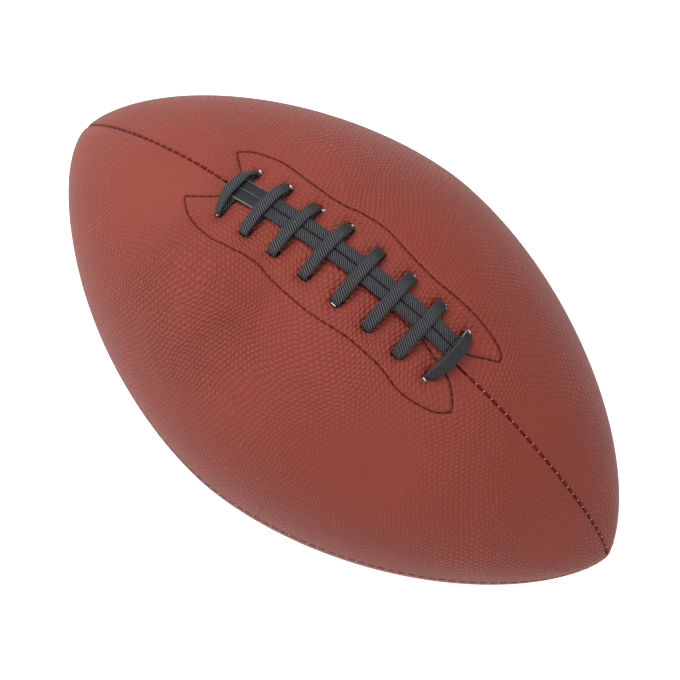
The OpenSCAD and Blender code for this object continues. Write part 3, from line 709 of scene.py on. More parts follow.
# How far each hole is stretched outwards, from the first cross lace to the last
STRETCH = {1: [1.2, 0.6, 0.5, 0.5, 0.1, 0.3, 0.4, 0.8],
           -1: [0.4, 0.1, 0.1, 0.2, 0.8, 0.1, 0.1, 0.9]}
PASS_STEP = 1.35
HOLE_HALF_X = 1.8
END_HOLE_HALF_X = 1.05
HOLE_HALF_SIDE = 1.45
HOLE_ROUND = 0.7
FAR = 1e3
# Tries, size of the small step and least slope, when a vertex is drawn onto an outline
DRAW_TRIES = 3
DRAW_STEP = 0.01
DRAW_SLOPE = 0.25


def hole_distance(x, side, way):
    """Distance outside the nearest lace hole, and which hole that is"""
    best = np.full(np.shape(x), FAR)
    nearest = np.zeros(np.shape(x), int)
    for k in range(CROSS_COUNT):
        stretch = STRETCH[way][k]
        middle = LEG_SIDE[way][k] - PASS_STEP / 2
        half_x = END_HOLE_HALF_X if k in (0, CROSS_COUNT - 1) else HOLE_HALF_X
        dx = np.abs(x - HOLE_X[way][k]) - half_x + HOLE_ROUND
        dy = np.abs(side - middle - stretch / 2) - HOLE_HALF_SIDE - stretch / 2 + HOLE_ROUND
        outside = np.hypot(np.maximum(dx, 0), np.maximum(dy, 0))
        distance = outside + np.minimum(np.maximum(dx, dy), 0) - HOLE_ROUND
        nearest = np.where(distance < best, k, nearest)
        best = np.minimum(best, distance)
    return best, nearest


def open_holes(x, side, way):
    """Finds the cells inside the holes, and draws the vertices round them onto the outlines"""
    middle_x = (x[:-1, :-1] + x[1:, 1:]) / 2
    middle_side = (side[:-1, :-1] + side[1:, 1:]) / 2
    inside = hole_distance(middle_x, middle_side, way)[0] < 0
    touched = np.zeros(x.shape, bool)
    kept = np.zeros(x.shape, bool)
    for dr in (0, 1):
        for dc in (0, 1):
            touched[dr:x.shape[0] - 1 + dr, dc:x.shape[1] - 1 + dc] |= inside
            kept[dr:x.shape[0] - 1 + dr, dc:x.shape[1] - 1 + dc] |= ~inside
    rim = touched & kept
    for _ in range(DRAW_TRIES):
        d, _ = hole_distance(x[rim], side[rim], way)
        gx = (hole_distance(x[rim] + DRAW_STEP, side[rim], way)[0] - d) / DRAW_STEP
        gy = (hole_distance(x[rim], side[rim] + DRAW_STEP, way)[0] - d) / DRAW_STEP
        size = np.maximum(gx * gx + gy * gy, DRAW_SLOPE)
        x[rim] -= d * gx / size
        side[rim] -= d * gy / size
    return x, side, inside


def cut_out(bm, cells):
    """Deletes cells of a grid, and turns the rest outwards"""
    bm.faces.ensure_lookup_table()
    bmesh.ops.delete(bm, geom=[bm.faces[i] for i in np.flatnonzero(cells.reshape(-1))], context="FACES")
    face_out(bm)


print("lace holes:", sum(len(places) for places in HOLE_X.values()))

# %% [markdown]
# ## Stitched outlines
# Behind each row of holes a strip of cotton is sewn to the leather, and its stitches show
# as a wavy outline. The points of the outline were chosen beside the photograph,
# and a smooth line runs through them. The leather sinks along this line, and the stitches
# are set on it further down.

# %% Stitched outlines
# In mm along the ball and from the seam
OUTER_LINE = {
    1: [(-64, 13), (-59.3, 16.6), (-51.2, 18.8), (-44.5, 19.6), (-30.7, 18.6), (-17, 18.6), (-7.5, 20.8),
        (3.3, 21.6), (14, 20), (27.5, 18.9), (38.5, 19.6), (48.3, 19.6), (57, 18.3), (62.1, 16.6),
        (65.7, 13.4)],
    -1: [(-67.2, 13.8), (-63.3, 17.5), (-56.3, 20.8), (-46.4, 22), (-37.7, 20.8), (-25.8, 19.8),
         (-18.1, 21.4), (-6.8, 22.5), (3.5, 22.5), (16.5, 20.6), (24.7, 20.3), (33.9, 20.4),
         (42.8, 22.1), (49.5, 21.6), (56.4, 19.7), (60.1, 17.8), (63.7, 13.9)]}
# The half of the outline's inner side from its end to the seam, the same at both ends
INNER_LINE = [(59.2, 9), (54.4, 5.9), (46.4, 4), (39.3, 2.4), (30, 2.2)]
LINE_STEPS = 10


def facing_line(way):
    """The stitched outline of a facing as one closed line, smooth between its two corners"""
    outer = smooth_line(OUTER_LINE[way], LINE_STEPS)
    back = [(-x, side) for x, side in reversed(INNER_LINE)]
    inner = smooth_line([OUTER_LINE[way][-1]] + INNER_LINE + back + [OUTER_LINE[way][0]], LINE_STEPS)
    return np.vstack([outer, inner[1:]])


def line_distance(x, side, line):
    """Distance from each place to a line of many points"""
    best = np.full(np.shape(x), FAR)
    for start, stop in zip(line[:-1], line[1:]):
        step = stop - start
        t = ((x - start[0]) * step[0] + (side - start[1]) * step[1]) / (step @ step + 1e-9)
        t = np.clip(t, 0, 1)
        best = np.minimum(best, np.hypot(x - start[0] - t * step[0], side - start[1] - t * step[1]))
    return best


print("stitched outlines, in mm round:",
      [round(float(path_lengths(facing_line(way))[-1])) for way in (1, -1)])

# %% [markdown]
# ## Relief round the lacing
# The strap pulls the leather down at each hole, bunches it up between two holes and
# throws small creases that run out from the hole. The stitching lies in a shallow groove
# with a low bank outside it. Sculpting this by hand could not be repeated, so all of it
# is one height above the smooth ball, as a function of the place on the cover, and can be
# added to any sheet.

# %% Relief round the lacing
# Heights and widths in mm
DENT = 0.55
DENT_WIDE = 0.9
CREASE = 0.16
CREASE_START = 0.8
CREASE_FADE = 2.0
# How many creases run out from a hole: strong ones and weaker ones between them
STRONG_CREASES = 9
WEAK_CREASES = 5
WEAK_SHARE = 0.7
CREASE_SEED = 40
BUNCH = 0.4
BUNCH_SIDE = 9.5
BUNCH_WIDE = 5.5
BUNCH_FADE = 6
GROOVE = 0.3
GROOVE_WIDE = 0.7
BANK = 0.12
BANK_OFF = 1.8
BANK_WIDE = 1.0
# The slit between the two laced panels stays smooth
SMOOTH_SIDE = 1.2
SMOOTH_FADE = 1.6


def hole_turn(x, side, hole, way):
    """Direction from a hole to a place, as an angle on the cover"""
    return np.arctan2(side - np.array(LEG_SIDE[way])[hole], x - np.array(HOLE_X[way])[hole])


def relief_height(x, side, way):
    """Height of the leather above the smooth ball, in mm, near the lacing"""
    distance, hole = hole_distance(x, side, way)
    rng = np.random.default_rng(CREASE_SEED + way)
    phases = rng.uniform(0, 2 * math.pi, (CROSS_COUNT, 2))
    turn = hole_turn(x, side, hole, way)
    weak = WEAK_SHARE * np.sin(WEAK_CREASES * turn + phases[hole, 1])
    ripple = np.sin(STRONG_CREASES * turn + phases[hole, 0]) + weak
    outside = np.maximum(distance, 0)
    dent = -DENT * np.exp(-(outside / DENT_WIDE) ** 2)
    creases = CREASE * ripple * ease(outside / CREASE_START) * np.exp(-outside / CREASE_FADE)
    beat = np.cos(2 * math.pi * (x / CROSS_PITCH))
    end_fade = 1 - ease((np.abs(x) - LACING_HALF) / BUNCH_FADE)
    bulge = BUNCH * beat * end_fade * np.exp(-((side - BUNCH_SIDE) / BUNCH_WIDE) ** 2)
    stitched = line_distance(x, side, facing_line(way))
    groove = -GROOVE * np.exp(-(stitched / GROOVE_WIDE) ** 2)
    bank = BANK * np.exp(-((stitched - BANK_OFF) / BANK_WIDE) ** 2)
    return (dent + creases + bulge + (groove + bank)) * ease((side - SMOOTH_SIDE) / SMOOTH_FADE)


def pull_way(x, side, way):
    """Direction from the nearest hole, and the distance as a share of the creases' reach"""
    distance, hole = hole_distance(x, side, way)
    turn = hole_turn(x, side, hole, way)
    share = np.clip(distance / CREASE_REACH_MM, 0, 1)
    return np.stack([np.cos(turn), np.sin(turn), share], axis=-1)


at_hole = relief_height(HOLE_X[1][3], LEG_SIDE[1][3], 1)
print("height of the leather at a hole, in mm:", round(float(at_hole), 2))

# %% [markdown]
# ## Laying the panels
# The panel is laid as one grid from turned-in edge to turned-in edge, with its rows
# closer together round the lacing, because the holes, dents and puckers need them. A
# Solidify modifier gives it its thickness, and weights tell it how thick the leather is
# at each vertex: it is thinner at the edges, where real leather is skived. The left
# panels are laid on the other side of the seam by a change of sign, and the back ones by
# a quarter turn round X.

# %% Cover panels
ARC = MID_R * math.pi / 2
# Rows of a panel: up to which share of its width they lie how far apart, in mm
LACED_ROWS = [(0.165, 0.62), (0.27, 1.1), (1, 2.6)]
BACK_ROWS = [(1, 2.4)]
# The relief is added this far along the ball and from the seam
RELIEF_END_X = 80
RELIEF_END_SIDE = 30
VALVE_HOLE_R = 2.8


def panel_places(x, angle, height, laced, way):
    """Rows of places over a whole panel, from turned-in edge to turned-in edge"""
    face = skin(x, angle, height, laced)
    first = edge_places(panel_x, laced, True)
    second = edge_places(panel_x, laced, False)
    places = np.concatenate([np.stack(first), face, np.stack(second[::-1])])
    if not laced:
        places = places[..., [0, 2, 1]] * np.array([1, 1, -1])
    return places * np.array([1, way, 1])


def sheet_uv(places):
    """The panel's own map in mm: along the cover and across it"""
    steps = np.linalg.norm(np.diff(places, axis=0), axis=2)
    across = np.vstack([np.zeros(places.shape[1]), np.cumsum(steps, axis=0)])
    across -= across[len(across) // 2]
    along = np.interp(places[..., 0], fine_x, fine_length)
    return np.stack([along, across], axis=-1)


def leather_thickness(shares, k):
    """Thickness at each vertex as a share of the full one"""
    ramp = np.zeros(len(shares) + 2 * EDGE_ROWS)
    ramp[EDGE_ROWS:-EDGE_ROWS] = ease(np.minimum(shares, 1 - shares) * ARC / SKIVE_FADE)
    return (EDGE_T + (COVER_T - EDGE_T) * ramp[:, None]) * k[None, :] / COVER_T


def cover_panel(name, node, laced, way, valve=False):
    """One leather panel, laced or not, on the side of +Y (way 1) or -Y (way -1)"""
    zones = LACED_ROWS if laced else BACK_ROWS
    shares = graded(*[(end, step / ARC) for end, step in zones])[1:-1]
    k = np.minimum(1, belly(panel_x) / SKIVE_R)
    starts = [np.arcsin((seam_gap(panel_x, laced and first) + edge_roll(panel_x)) * k / belly(panel_x))
              for first in (True, False)]
    x = np.tile(panel_x, (len(shares), 1))
    angle = starts[0] + shares[:, None] * (math.pi / 2 - starts[0] - starts[1])
    height = np.zeros(x.shape)
    cut = np.zeros((len(shares) + 2 * EDGE_ROWS - 1, len(panel_x) - 1), bool)
    if laced:
        x, side, inside = open_holes(x, angle * belly(x), way)
        angle = side / belly(x)
        near = (np.abs(x) < RELIEF_END_X) & (side < RELIEF_END_SIDE)
        height[near] = relief_height(x[near], side[near], way)
        cut[EDGE_ROWS:EDGE_ROWS + inside.shape[0]] = inside
    places = panel_places(x, angle, height, laced, way)
    if valve:
        cells = (places[:-1, :-1] + places[1:, 1:]) / 2
        cut |= np.hypot(cells[..., 0], (cells[..., 1] + cells[..., 2]) / math.sqrt(2)) < VALVE_HOLE_R
    bm = laid_grid(places, sheet_uv(places))
    deform = bm.verts.layers.deform.verify()
    for vert, share in zip(bm.verts, leather_thickness(shares, k).reshape(-1)):
        vert[deform][0] = float(share)
    if laced:
        carried = np.zeros(places.shape)
        carried[..., 2] = 1
        carried[EDGE_ROWS:-EDGE_ROWS] = pull_way(x, side, way)
        layer = bm.verts.layers.float_vector.new("pull")
        for vert, value in zip(bm.verts, carried.reshape(-1, 3)):
            vert[layer] = value
    cut_out(bm, cut)
    piece = add_piece(name, bm, leather, "cover", node)
    piece.vertex_groups.new(name="thickness")
    solidify = piece.modifiers.new("thickness", "SOLIDIFY")
    solidify.thickness = COVER_T * MM
    solidify.offset = -1
    solidify.vertex_group = "thickness"


cover_panel("leather_laced_right", "panel_laced_right", True, 1)
cover_panel("leather_laced_left", "panel_laced_left", True, -1)
cover_panel("leather_back_right", "panel_back_right", False, 1, valve=True)
cover_panel("leather_back_left", "panel_back_left", False, -1)

# %% [markdown]
# ## Loops of the strap
# One strap makes the whole lacing. A first pass goes up through a left hole, over the
# seam and down through the right one, and slants back inside. Two long runs then lie on
# those loops, and a second pass crosses over them and comes home. The route is the
# frame's, but each hole lies where the photograph shows it. A place on the route is
# given along the ball, across it, above it, and with a turn of the strap's width. Two
# more numbers shape the end laces, which bow away from the middle, lean outwards and draw
# in at their holes, and a last one says how much of the braid shows.

# %% Loops of the strap
STRAP_W = 4.7
STRAP_T = 1.25
LOW_H = 0.78
RUN_H = LOW_H + PASS_STEP
UP_H = RUN_H + PASS_STEP
LOW_RETURN_H = -5.05
RETURN_STEP = 1.6
UP_RETURN_H = LOW_RETURN_H - RETURN_STEP
LOW_BEND_R = 1.3
UP_BEND_R = LOW_BEND_R + PASS_STEP
BEND_STEPS = 4
LAST = CROSS_COUNT - 1
# Bow of the first and last cross lace, how far they lean outwards, and how wide they are
END_BOW = {0: 1.8, LAST: 1.45}
END_LEAN = {0: 8, LAST: 12}
END_WIDE = {0: 1.12, LAST: 1.13}
END_WIDE_LOW = 0.9
# How far the first pass is drawn along the ball at its left and right leg, so that it
# shows under the laces above
LOW_ASIDE = {0: (0, -0.4), LAST: (0.1, 0.1)}
OTHER_LOW_ASIDE = (-0.5, 0)
# How much of the braid shows on the end laces
END_BRAID = {0: 0.75, LAST: 0.4}
# Width at the left and right tip of an end lace, and how late it narrows towards them
TIP_SHARE = {0: (0.5, 0.36), LAST: (0.62, 0.66)}
TIP_POWER = {0: 2, LAST: 3.5}
# The other laces narrow a little in the last part of each half
NARROW_LEFT = 0.12
NARROW_RIGHT = 0.08
NARROW_START = 0.7
NARROW_FADE = 0.3
# Every upper lace is worn smooth towards its right end
WORN_SIDE = 4.5
WORN_FADE = 4
WORN_SHARE = 0.75
# Places across the seam, and how deep in its hole a lace starts to bow and lean
OVER_SIDES = (-5.2, -2.6, 0, 2.6, 5.2)
OUT_DEPTH = 3.6
OUT_FADE = 1.6


def arc(side, h, r, start, stop):
    """Places on an arc across the ball"""
    turns = np.radians(np.linspace(start, stop, BEND_STEPS + 1))
    return [(side + r * math.cos(t), h + r * math.sin(t)) for t in turns]


def lace_width(k, t, share, out, second):
    """Width of a cross lace at a place between its holes, as a share of the strap's"""
    if k in TIP_SHARE:
        full = END_WIDE[k] if second else END_WIDE_LOW
        wide = full - (full - TIP_SHARE[k][int(t > 0.5)]) * min(share, 1) ** TIP_POWER[k]
        return 1 + (wide - 1) * out
    narrow = NARROW_RIGHT if t > 0.5 else NARROW_LEFT
    return 1 - narrow * ease((share - NARROW_START) / NARROW_FADE) * out


def lace_loop(k, inset, top, end_top, floor_h, r, bow=0, tilt=0, second=False):
    """Up through a left hole, over the seam and down through the right one"""
    left_leg, right_leg = (LEG_SIDE[way][k] - inset for way in (-1, 1))
    aside = (0, 0) if second else LOW_ASIDE.get(k, OTHER_LOW_ASIDE)
    left_x, right_x = HOLE_X[-1][k] + aside[0], HOLE_X[1][k] + aside[1]
    left = arc(LOW_BEND_R - left_leg, floor_h + LOW_BEND_R, LOW_BEND_R, 270, 180)
    left += arc(r - left_leg, end_top - r, r, 180, 90)
    right = arc(right_leg - r, end_top - r, r, 90, 0)
    right += arc(right_leg - LOW_BEND_R, floor_h + LOW_BEND_R, LOW_BEND_R, 0, -90)
    over = [(side, top) for side in OVER_SIDES]
    loop = []
    for side, h in left + over + right:
        t = (side + left_leg) / (left_leg + right_leg)
        share = abs(2 * t - 1)
        out = ease((h + OUT_DEPTH) / OUT_FADE)
        x = left_x + (right_x - left_x) * t + bow * (1 - share ** 2) * out
        worn = WORN_SHARE * ease((side - WORN_SIDE) / WORN_FADE)
        braid = END_BRAID.get(k, 1) * (1 - worn) if second else 1
        loop.append((x, side, h, 0, tilt * out, lace_width(k, t, share, out, second), braid))
    return loop


def low_loop(k, bow=0):
    """A cross lace of the first pass"""
    return lace_loop(k, PASS_STEP, LOW_H, LOW_H, LOW_RETURN_H, LOW_BEND_R, bow)


print("places on one loop:", len(low_loop(0)))

# %% [markdown]
# ## Runs and returns of the strap
# Between the loops the strap slants back inside the ball, and the two long runs lie flat
# on the first pass. A run starts and ends with a turn in the plane of the cover, and next
# to the first cross lace its coat is worn smooth. These stretches are straight or round,
# so they come from small functions with the same seven numbers for each place.

# %% Runs and returns of the strap
RUN_SIDE = 2.3
RUN_MIDDLE = 1.6
# The runs slant away from the seam by this many mm for each mm along it
RUN_SLANT = 0.038
RUN_SHARE = 0.92
RUN_WORN_X = -38
RUN_WORN_FADE = 8
RUN_WORN_BRAID = 0.1
FLAT_TURN_R = 2.85


def slanted(k0, k1, inset, h):
    """Slanted return inside the ball, from a right hole to the next left one"""
    x0, side0 = HOLE_X[1][k0], LEG_SIDE[1][k0] - inset - LOW_BEND_R
    x1, side1 = HOLE_X[-1][k1], LOW_BEND_R + inset - LEG_SIDE[-1][k1]
    return [(x0 + (x1 - x0) * s, side0 + (side1 - side0) * s, h, 0, 0, 1, 1) for s in (1 / 3, 2 / 3)]


def flat_turn(x, side, r, h, start, stop, shift, braid):
    """A turn in the plane of the cover"""
    steps = round(BEND_STEPS * abs(stop - start) / 90)
    return [(x + r * math.cos(math.radians(t)), side + r * math.sin(math.radians(t)), h, t + shift, 0,
             RUN_SHARE, braid) for t in np.linspace(start, stop, steps + 1)]


def run_middle(x):
    """Distance from the seam to the middle of the two long runs"""
    return RUN_MIDDLE + RUN_SLANT * x


def run(x, way):
    """A place on one of the long runs"""
    braid = RUN_WORN_BRAID + (1 - RUN_WORN_BRAID) * float(ease((x - RUN_WORN_X) / RUN_WORN_FADE))
    return (x, run_middle(x) + way * RUN_SIDE, RUN_H, -90 * way, 0, RUN_SHARE, braid)


print("from run to run over the seam, in mm:", 2 * RUN_SIDE)

# %% [markdown]
# ## The whole route
# Now the stretches are put together in the order in which the strap is pulled through:
# first pass, last lower loop with the two runs between its halves, a step down inside the
# ball, second pass. The order matters, because the strap is one mesh from tail to tail.

# %% The whole route
TAIL_LENGTH = 9.0
TURN_INSET = 0.3
TURN_SINK = 0.35
TURN_H = RUN_H - TURN_SINK
TURN_GAP = 0.4
RUN_GAP = 0.6
STEP_DOWN_X = LACING_HALF + 1.5
run_start = LACING_HALF - CROSS_PITCH + STRAP_W / 2 + RUN_GAP
run_places = [LACING_HALF - CROSS_PITCH - i * CROSS_PITCH / 2 for i in range(2 * LAST - 2)]

first_pass = [(HOLE_X[-1][0], TAIL_LENGTH - LEG_SIDE[-1][0], LOW_RETURN_H, 0, 0, 1, 1)]
for k in range(LAST):
    first_pass += low_loop(k) + slanted(k, k + 1, PASS_STEP, LOW_RETURN_H)

last_loop = low_loop(LAST, END_BOW[LAST])
half = 2 * (BEND_STEPS + 1)
turn_x = LACING_HALF - FLAT_TURN_R - TURN_GAP
turn_middle = run_middle(turn_x)
long_runs = last_loop[:half]
long_runs += flat_turn(turn_x, turn_middle - RUN_SIDE - FLAT_TURN_R, FLAT_TURN_R, LOW_H, 0, 90, 0, 1)
long_runs += [run(x, -1) for x in [run_start] + run_places]
long_runs += flat_turn(TURN_INSET - LACING_HALF, run_middle(-LACING_HALF), RUN_SIDE, TURN_H, 270, 90, -180,
                       RUN_WORN_BRAID)
long_runs += [run(x, 1) for x in run_places[::-1] + [run_start]]
long_runs += flat_turn(turn_x, turn_middle + RUN_SIDE + FLAT_TURN_R, FLAT_TURN_R, LOW_H, -90, 0, 0, 1)
long_runs += last_loop[-half:]

step_down = [(STEP_DOWN_X, LEG_SIDE[1][LAST] / 3, LOW_RETURN_H, 0, 0, 1, 1),
             (STEP_DOWN_X, -LEG_SIDE[-1][LAST] / 3, UP_RETURN_H, 0, 0, 1, 1)]

second_pass = []
for k in range(LAST, -1, -1):
    way = {0: -1, LAST: 1}.get(k, 0)
    second_pass += lace_loop(k, 0, UP_H, LOW_H + PASS_STEP, UP_RETURN_H, UP_BEND_R,
                             way * END_BOW.get(k, 0), -way * END_LEAN.get(k, 0), second=True)
    if k > 0:
        second_pass += slanted(k, k - 1, 0, UP_RETURN_H)
second_pass += [(HOLE_X[1][0], LEG_SIDE[1][0] - TAIL_LENGTH, UP_RETURN_H, 0, 0, 1, 1)]
route = first_pass + long_runs + step_down + second_pass
print("places on the strap's route:", len(route))

# %% [markdown]
# ## Directions along the strap
# At each place of the route the strap needs its middle in space and two directions: the
# way of its width and the way out of its face. Two small steps on the cover give the
# cover's own directions there. The strap's turn mixes them, and its lean tips the width
# towards the way out.

# %% Directions along the strap
ROUTE_STEPS = 3
SMALL_STEP = 0.1


def unit(rows):
    """Rows of directions, each of length 1"""
    return rows / np.linalg.norm(rows, axis=1)[:, None]


line = smooth_line(route, ROUTE_STEPS)
x, side, h = line[:, 0], line[:, 1], line[:, 2]
centre = laced_skin(x, side, h)
along = unit(laced_skin(x + SMALL_STEP, side, 0) - laced_skin(x - SMALL_STEP, side, 0))
across = unit(laced_skin(x, side + SMALL_STEP, 0) - laced_skin(x, side - SMALL_STEP, 0))
turns = np.radians(line[:, 3])[:, None]
lean_turns = np.radians(line[:, 4])[:, None]
wide = np.cos(turns) * along + np.sin(turns) * across
face_way = unit(np.cross(wide, np.gradient(centre, axis=0)))
width_way = np.cos(lean_turns) * wide + np.sin(lean_turns) * face_way
face_way = np.cos(lean_turns) * face_way - np.sin(lean_turns) * wide
length_mm = path_lengths(centre)
print("length of the strap in mm:", round(length_mm[-1]))

# %% [markdown]
# ## Mesh of the strap
# The strap is a grid as long as the route and as wide as the strap's girth. Its rows lie
# on a rounded oblong round the route, the two long edges of the grid are merged, and the
# two ends are filled. A curve with a bevel would twist in the turns, and here each
# direction is known.

# %% Mesh of the strap
SECTION_POINTS = 24
SECTION_POWER = 3.6
MERGE_DISTANCE = 0.001
# Slant of the braid, in mm along the strap for each mm across it
CROSS_BRAID_SLANT = 0.58
RUN_BRAID_SLANT = -0.9

half_w = STRAP_W / 2 * line[:, 5]
places = []
girth = []
for t in np.linspace(math.pi, -math.pi, SECTION_POINTS + 1):
    c, s = math.cos(t), math.sin(t)
    u = math.copysign(abs(c) ** (2 / SECTION_POWER), c)
    v = math.copysign(abs(s) ** (2 / SECTION_POWER), s)
    places.append(centre + (u * half_w)[:, None] * width_way + v * STRAP_T / 2 * face_way)
    girth.append((u * STRAP_W / 2, v * STRAP_T / 2))
girth_mm = path_lengths(girth)
bm = laid_grid(np.stack(places), np.stack(np.meshgrid(girth_mm, length_mm, indexing="ij"), axis=-1))
braid_layer = bm.verts.layers.float.new("braided")
slant_layer = bm.verts.layers.float.new("slant")
slant = CROSS_BRAID_SLANT + (RUN_BRAID_SLANT - CROSS_BRAID_SLANT) * np.abs(np.sin(turns[:, 0]))
for i, vert in enumerate(bm.verts):
    vert[braid_layer] = float(np.clip(line[i % len(line), 6], 0, 1))
    vert[slant_layer] = float(slant[i % len(line)])
bmesh.ops.remove_doubles(bm, verts=bm.verts[:], dist=MERGE_DISTANCE)
bmesh.ops.holes_fill(bm, edges=[e for e in bm.edges if e.is_boundary], sides=0)
bmesh.ops.recalc_face_normals(bm, faces=bm.faces[:])
add_piece("braided_lace", bm, strap_coat, "lace", "lace")
print("once round the strap in mm:", round(float(girth_mm[-1]), 1))

# %% [markdown]
# ## Facings
# Behind the lace holes each laced panel is doubled with white cotton. It shows only as
# white edges at the ends of the stretched holes, where the cloth turns up. The facing is
# a sheet behind the leather, cut out at the holes like the panel, and each turned-up edge
# is a small rounded roll of cloth in the end of its hole. A sphere that is drawn long and
# thin makes the roll, because only its upper side is seen.

# %% Facings
FACING_DEPTH = 2.05
FACING_T = 1.0
FACING_START = 1.85
FACING_MARGIN = 3.0
FACING_STEP = 0.8
FACING_ROWS = 34
# White edges that show: hole, place from the strap's leg, half length, radius and turn
EDGES_SEEN = {1: [(0, 0.1, 1.35, 0.8, 0.45, 0), (1, 0.9, 0.75, 1.3, 0.5, -30), (2, 2.6, 0.2, 0.9, 0.4, 40),
                  (3, 0.6, 1.1, 0.7, 0.25, 0), (5, 1.0, 0.7, 0.9, 0.22, -20), (6, 1.9, 0.3, 1.0, 0.3, -45),
                  (7, 0.1, 1.1, 0.9, 0.4, -10)],
              -1: [(0, -0.3, 0.75, 0.5, 0.17, 0), (4, 0.0, 1.2, 1.2, 0.3, 0), (7, -0.3, 1.3, 0.9, 0.35, 10)]}
EDGE_H = -0.15
# Height of a roll, in radii
EDGE_TALL = 1.5
EDGE_SEGMENTS = 12
EDGE_RINGS = 9


def turned_up_edge(bm, way, x, side, half_length, radius, turn_deg):
    """One roll of white cloth in the end of a hole"""
    flip = np.array([1, way, 1])
    step_x, step_side = math.cos(math.radians(turn_deg)), math.sin(math.radians(turn_deg))
    middle = laced_skin(x, side, EDGE_H) * flip
    up = Vector(laced_skin(x, side, EDGE_H + 1) * flip - middle).normalized()
    ahead = Vector(laced_skin(x + step_x, side + step_side, EDGE_H) * flip - middle).normalized()
    turn = Matrix((ahead.cross(up), up, ahead)).transposed().to_4x4()
    size = Matrix.Diagonal((radius, radius * EDGE_TALL, half_length, 1))
    made = bmesh.ops.create_uvsphere(bm, u_segments=EDGE_SEGMENTS, v_segments=EDGE_RINGS, radius=1)
    bmesh.ops.transform(bm, matrix=Matrix.Translation(Vector(middle)) @ turn @ size, verts=made["verts"])


def facing(name, node, way):
    """The cloth behind one laced panel, with the edges that show"""
    reach = OUTER_LINE[way][-1][0] + FACING_MARGIN
    x = np.linspace(-reach, reach, round(2 * reach / FACING_STEP))
    outer = smooth_line(OUTER_LINE[way], LINE_STEPS)
    outer_side = np.interp(x, outer[:, 0], outer[:, 1]) + FACING_MARGIN
    side = FACING_START + np.linspace(0, 1, FACING_ROWS)[:, None] * (outer_side - FACING_START)
    x, side, inside = open_holes(np.tile(x, (FACING_ROWS, 1)), side, way)
    bm = laid_grid(laced_skin(x, side, -FACING_DEPTH) * np.array([1, way, 1]))
    cut_out(bm, inside)
    bmesh.ops.solidify(bm, geom=bm.faces[:], thickness=FACING_T)
    for k, dx, dside, half_length, radius, turn_deg in EDGES_SEEN[way]:
        turned_up_edge(bm, way, HOLE_X[way][k] + dx, LEG_SIDE[way][k] + dside, half_length, radius, turn_deg)
    bmesh.ops.recalc_face_normals(bm, faces=bm.faces[:])
    add_piece(name, bm, facing_cloth, "facing", node)


facing("cotton_facing_right", "facing_right", 1)
facing("cotton_facing_left", "facing_left", -1)

# %% [markdown]
# ## One stitch
# A stitch is a short stretch of thread that dives into the leather at both ends. One
# small capsule is modelled once, with few faces because there are hundreds, and set down
# again and again between two places.

# %% One stitch
def stitch_mesh(length, radius):
    """One stitch along Z: a sphere without an equator, drawn apart into a capsule"""
    bm = bmesh.new()
    bmesh.ops.create_uvsphere(bm, u_segments=8, v_segments=5, radius=radius)
    for vert in bm.verts:
        vert.co.z += math.copysign(length / 2 - radius, vert.co.z)
    return mesh_from("stitch", bm)


def sew(bm, mesh, start, stop, up):
    """Sets one stitch down between two points"""
    before = len(bm.verts)
    bm.from_mesh(mesh)
    bm.verts.ensure_lookup_table()
    ahead = (Vector(stop) - Vector(start)).normalized()
    side = ahead.cross(Vector(up)).normalized()
    turn = Matrix((side, side.cross(ahead) * -1, ahead)).transposed().to_4x4()
    middle = (Vector(start) + Vector(stop)) / 2
    bmesh.ops.transform(bm, matrix=Matrix.Translation(middle) @ turn, verts=bm.verts[before:])


def add_stitches(name, bm, template, material, slot, node):
    """Makes all stitches of one thread a piece"""
    bmesh.ops.recalc_face_normals(bm, faces=bm.faces[:])
    bpy.data.meshes.remove(template)
    add_piece(name, bm, material, slot, node)


print("helpers for stitches are ready")

# %% [markdown]
# ## Stitches of the facings
# The stitches follow the outline on the leather, one after the other, with a small step
# between them. The outline is measured on the curved cover, so that all of them have the
# same length.

# %% Stitches of the facings
FACING_STITCH = 3.0
STITCH_SHARE = 0.93
FACING_THREAD_R = 0.35
THREAD_RISE = 0.12


def facing_stitches(name, node, way):
    """The stitches round one facing"""
    line = facing_line(way)
    surface = laced_skin(line[:, 0], line[:, 1], 0)
    run_mm = path_lengths(surface)
    count = round(run_mm[-1] / FACING_STITCH)
    marks = np.linspace(0, run_mm[-1], count + 1)
    x = np.interp(marks, run_mm, line[:, 0])
    side = np.interp(marks, run_mm, line[:, 1])
    h = relief_height(x, side, way) + THREAD_RISE
    flip = np.array([1, way, 1])
    points = laced_skin(x, side, h) * flip
    ups = laced_skin(x, side, h + 1) * flip - points
    template = stitch_mesh(FACING_STITCH * STITCH_SHARE, FACING_THREAD_R)
    bm = bmesh.new()
    for i in range(count):
        sew(bm, template, points[i], points[i + 1], ups[i])
    print(name, "stitches:", count)
    add_stitches(name, bm, template, facing_thread, "facing_thread", node)


facing_stitches("facing_stitches_right", "facing_thread_right", 1)
facing_stitches("facing_stitches_left", "facing_thread_left", -1)

# %% [markdown]
# ## Stitches of the seams
# A seam's stitches lie down in its crease, and pale knots show between them. The laced
# seam has none where the lacing holds it. In the photograph the knots fade towards the
# left point, so an attribute says how pale each of them is.

# %% Stitches of the seams
SEAM_STITCH = 3.0
SEAM_THREAD_R = 0.47
SEAM_THREAD_DEPTH = 0.3
# Radius of the ball at the last stitch
LAST_STITCH_R = 8.0
KNOT_R = 0.3
KNOT_H = 0.03
# Places on the left where the knots fade, and how pale they are there
LEFT_KNOT_FADE = (-115, -75)
LEFT_KNOT_SHARE = (0.25, 0.5)


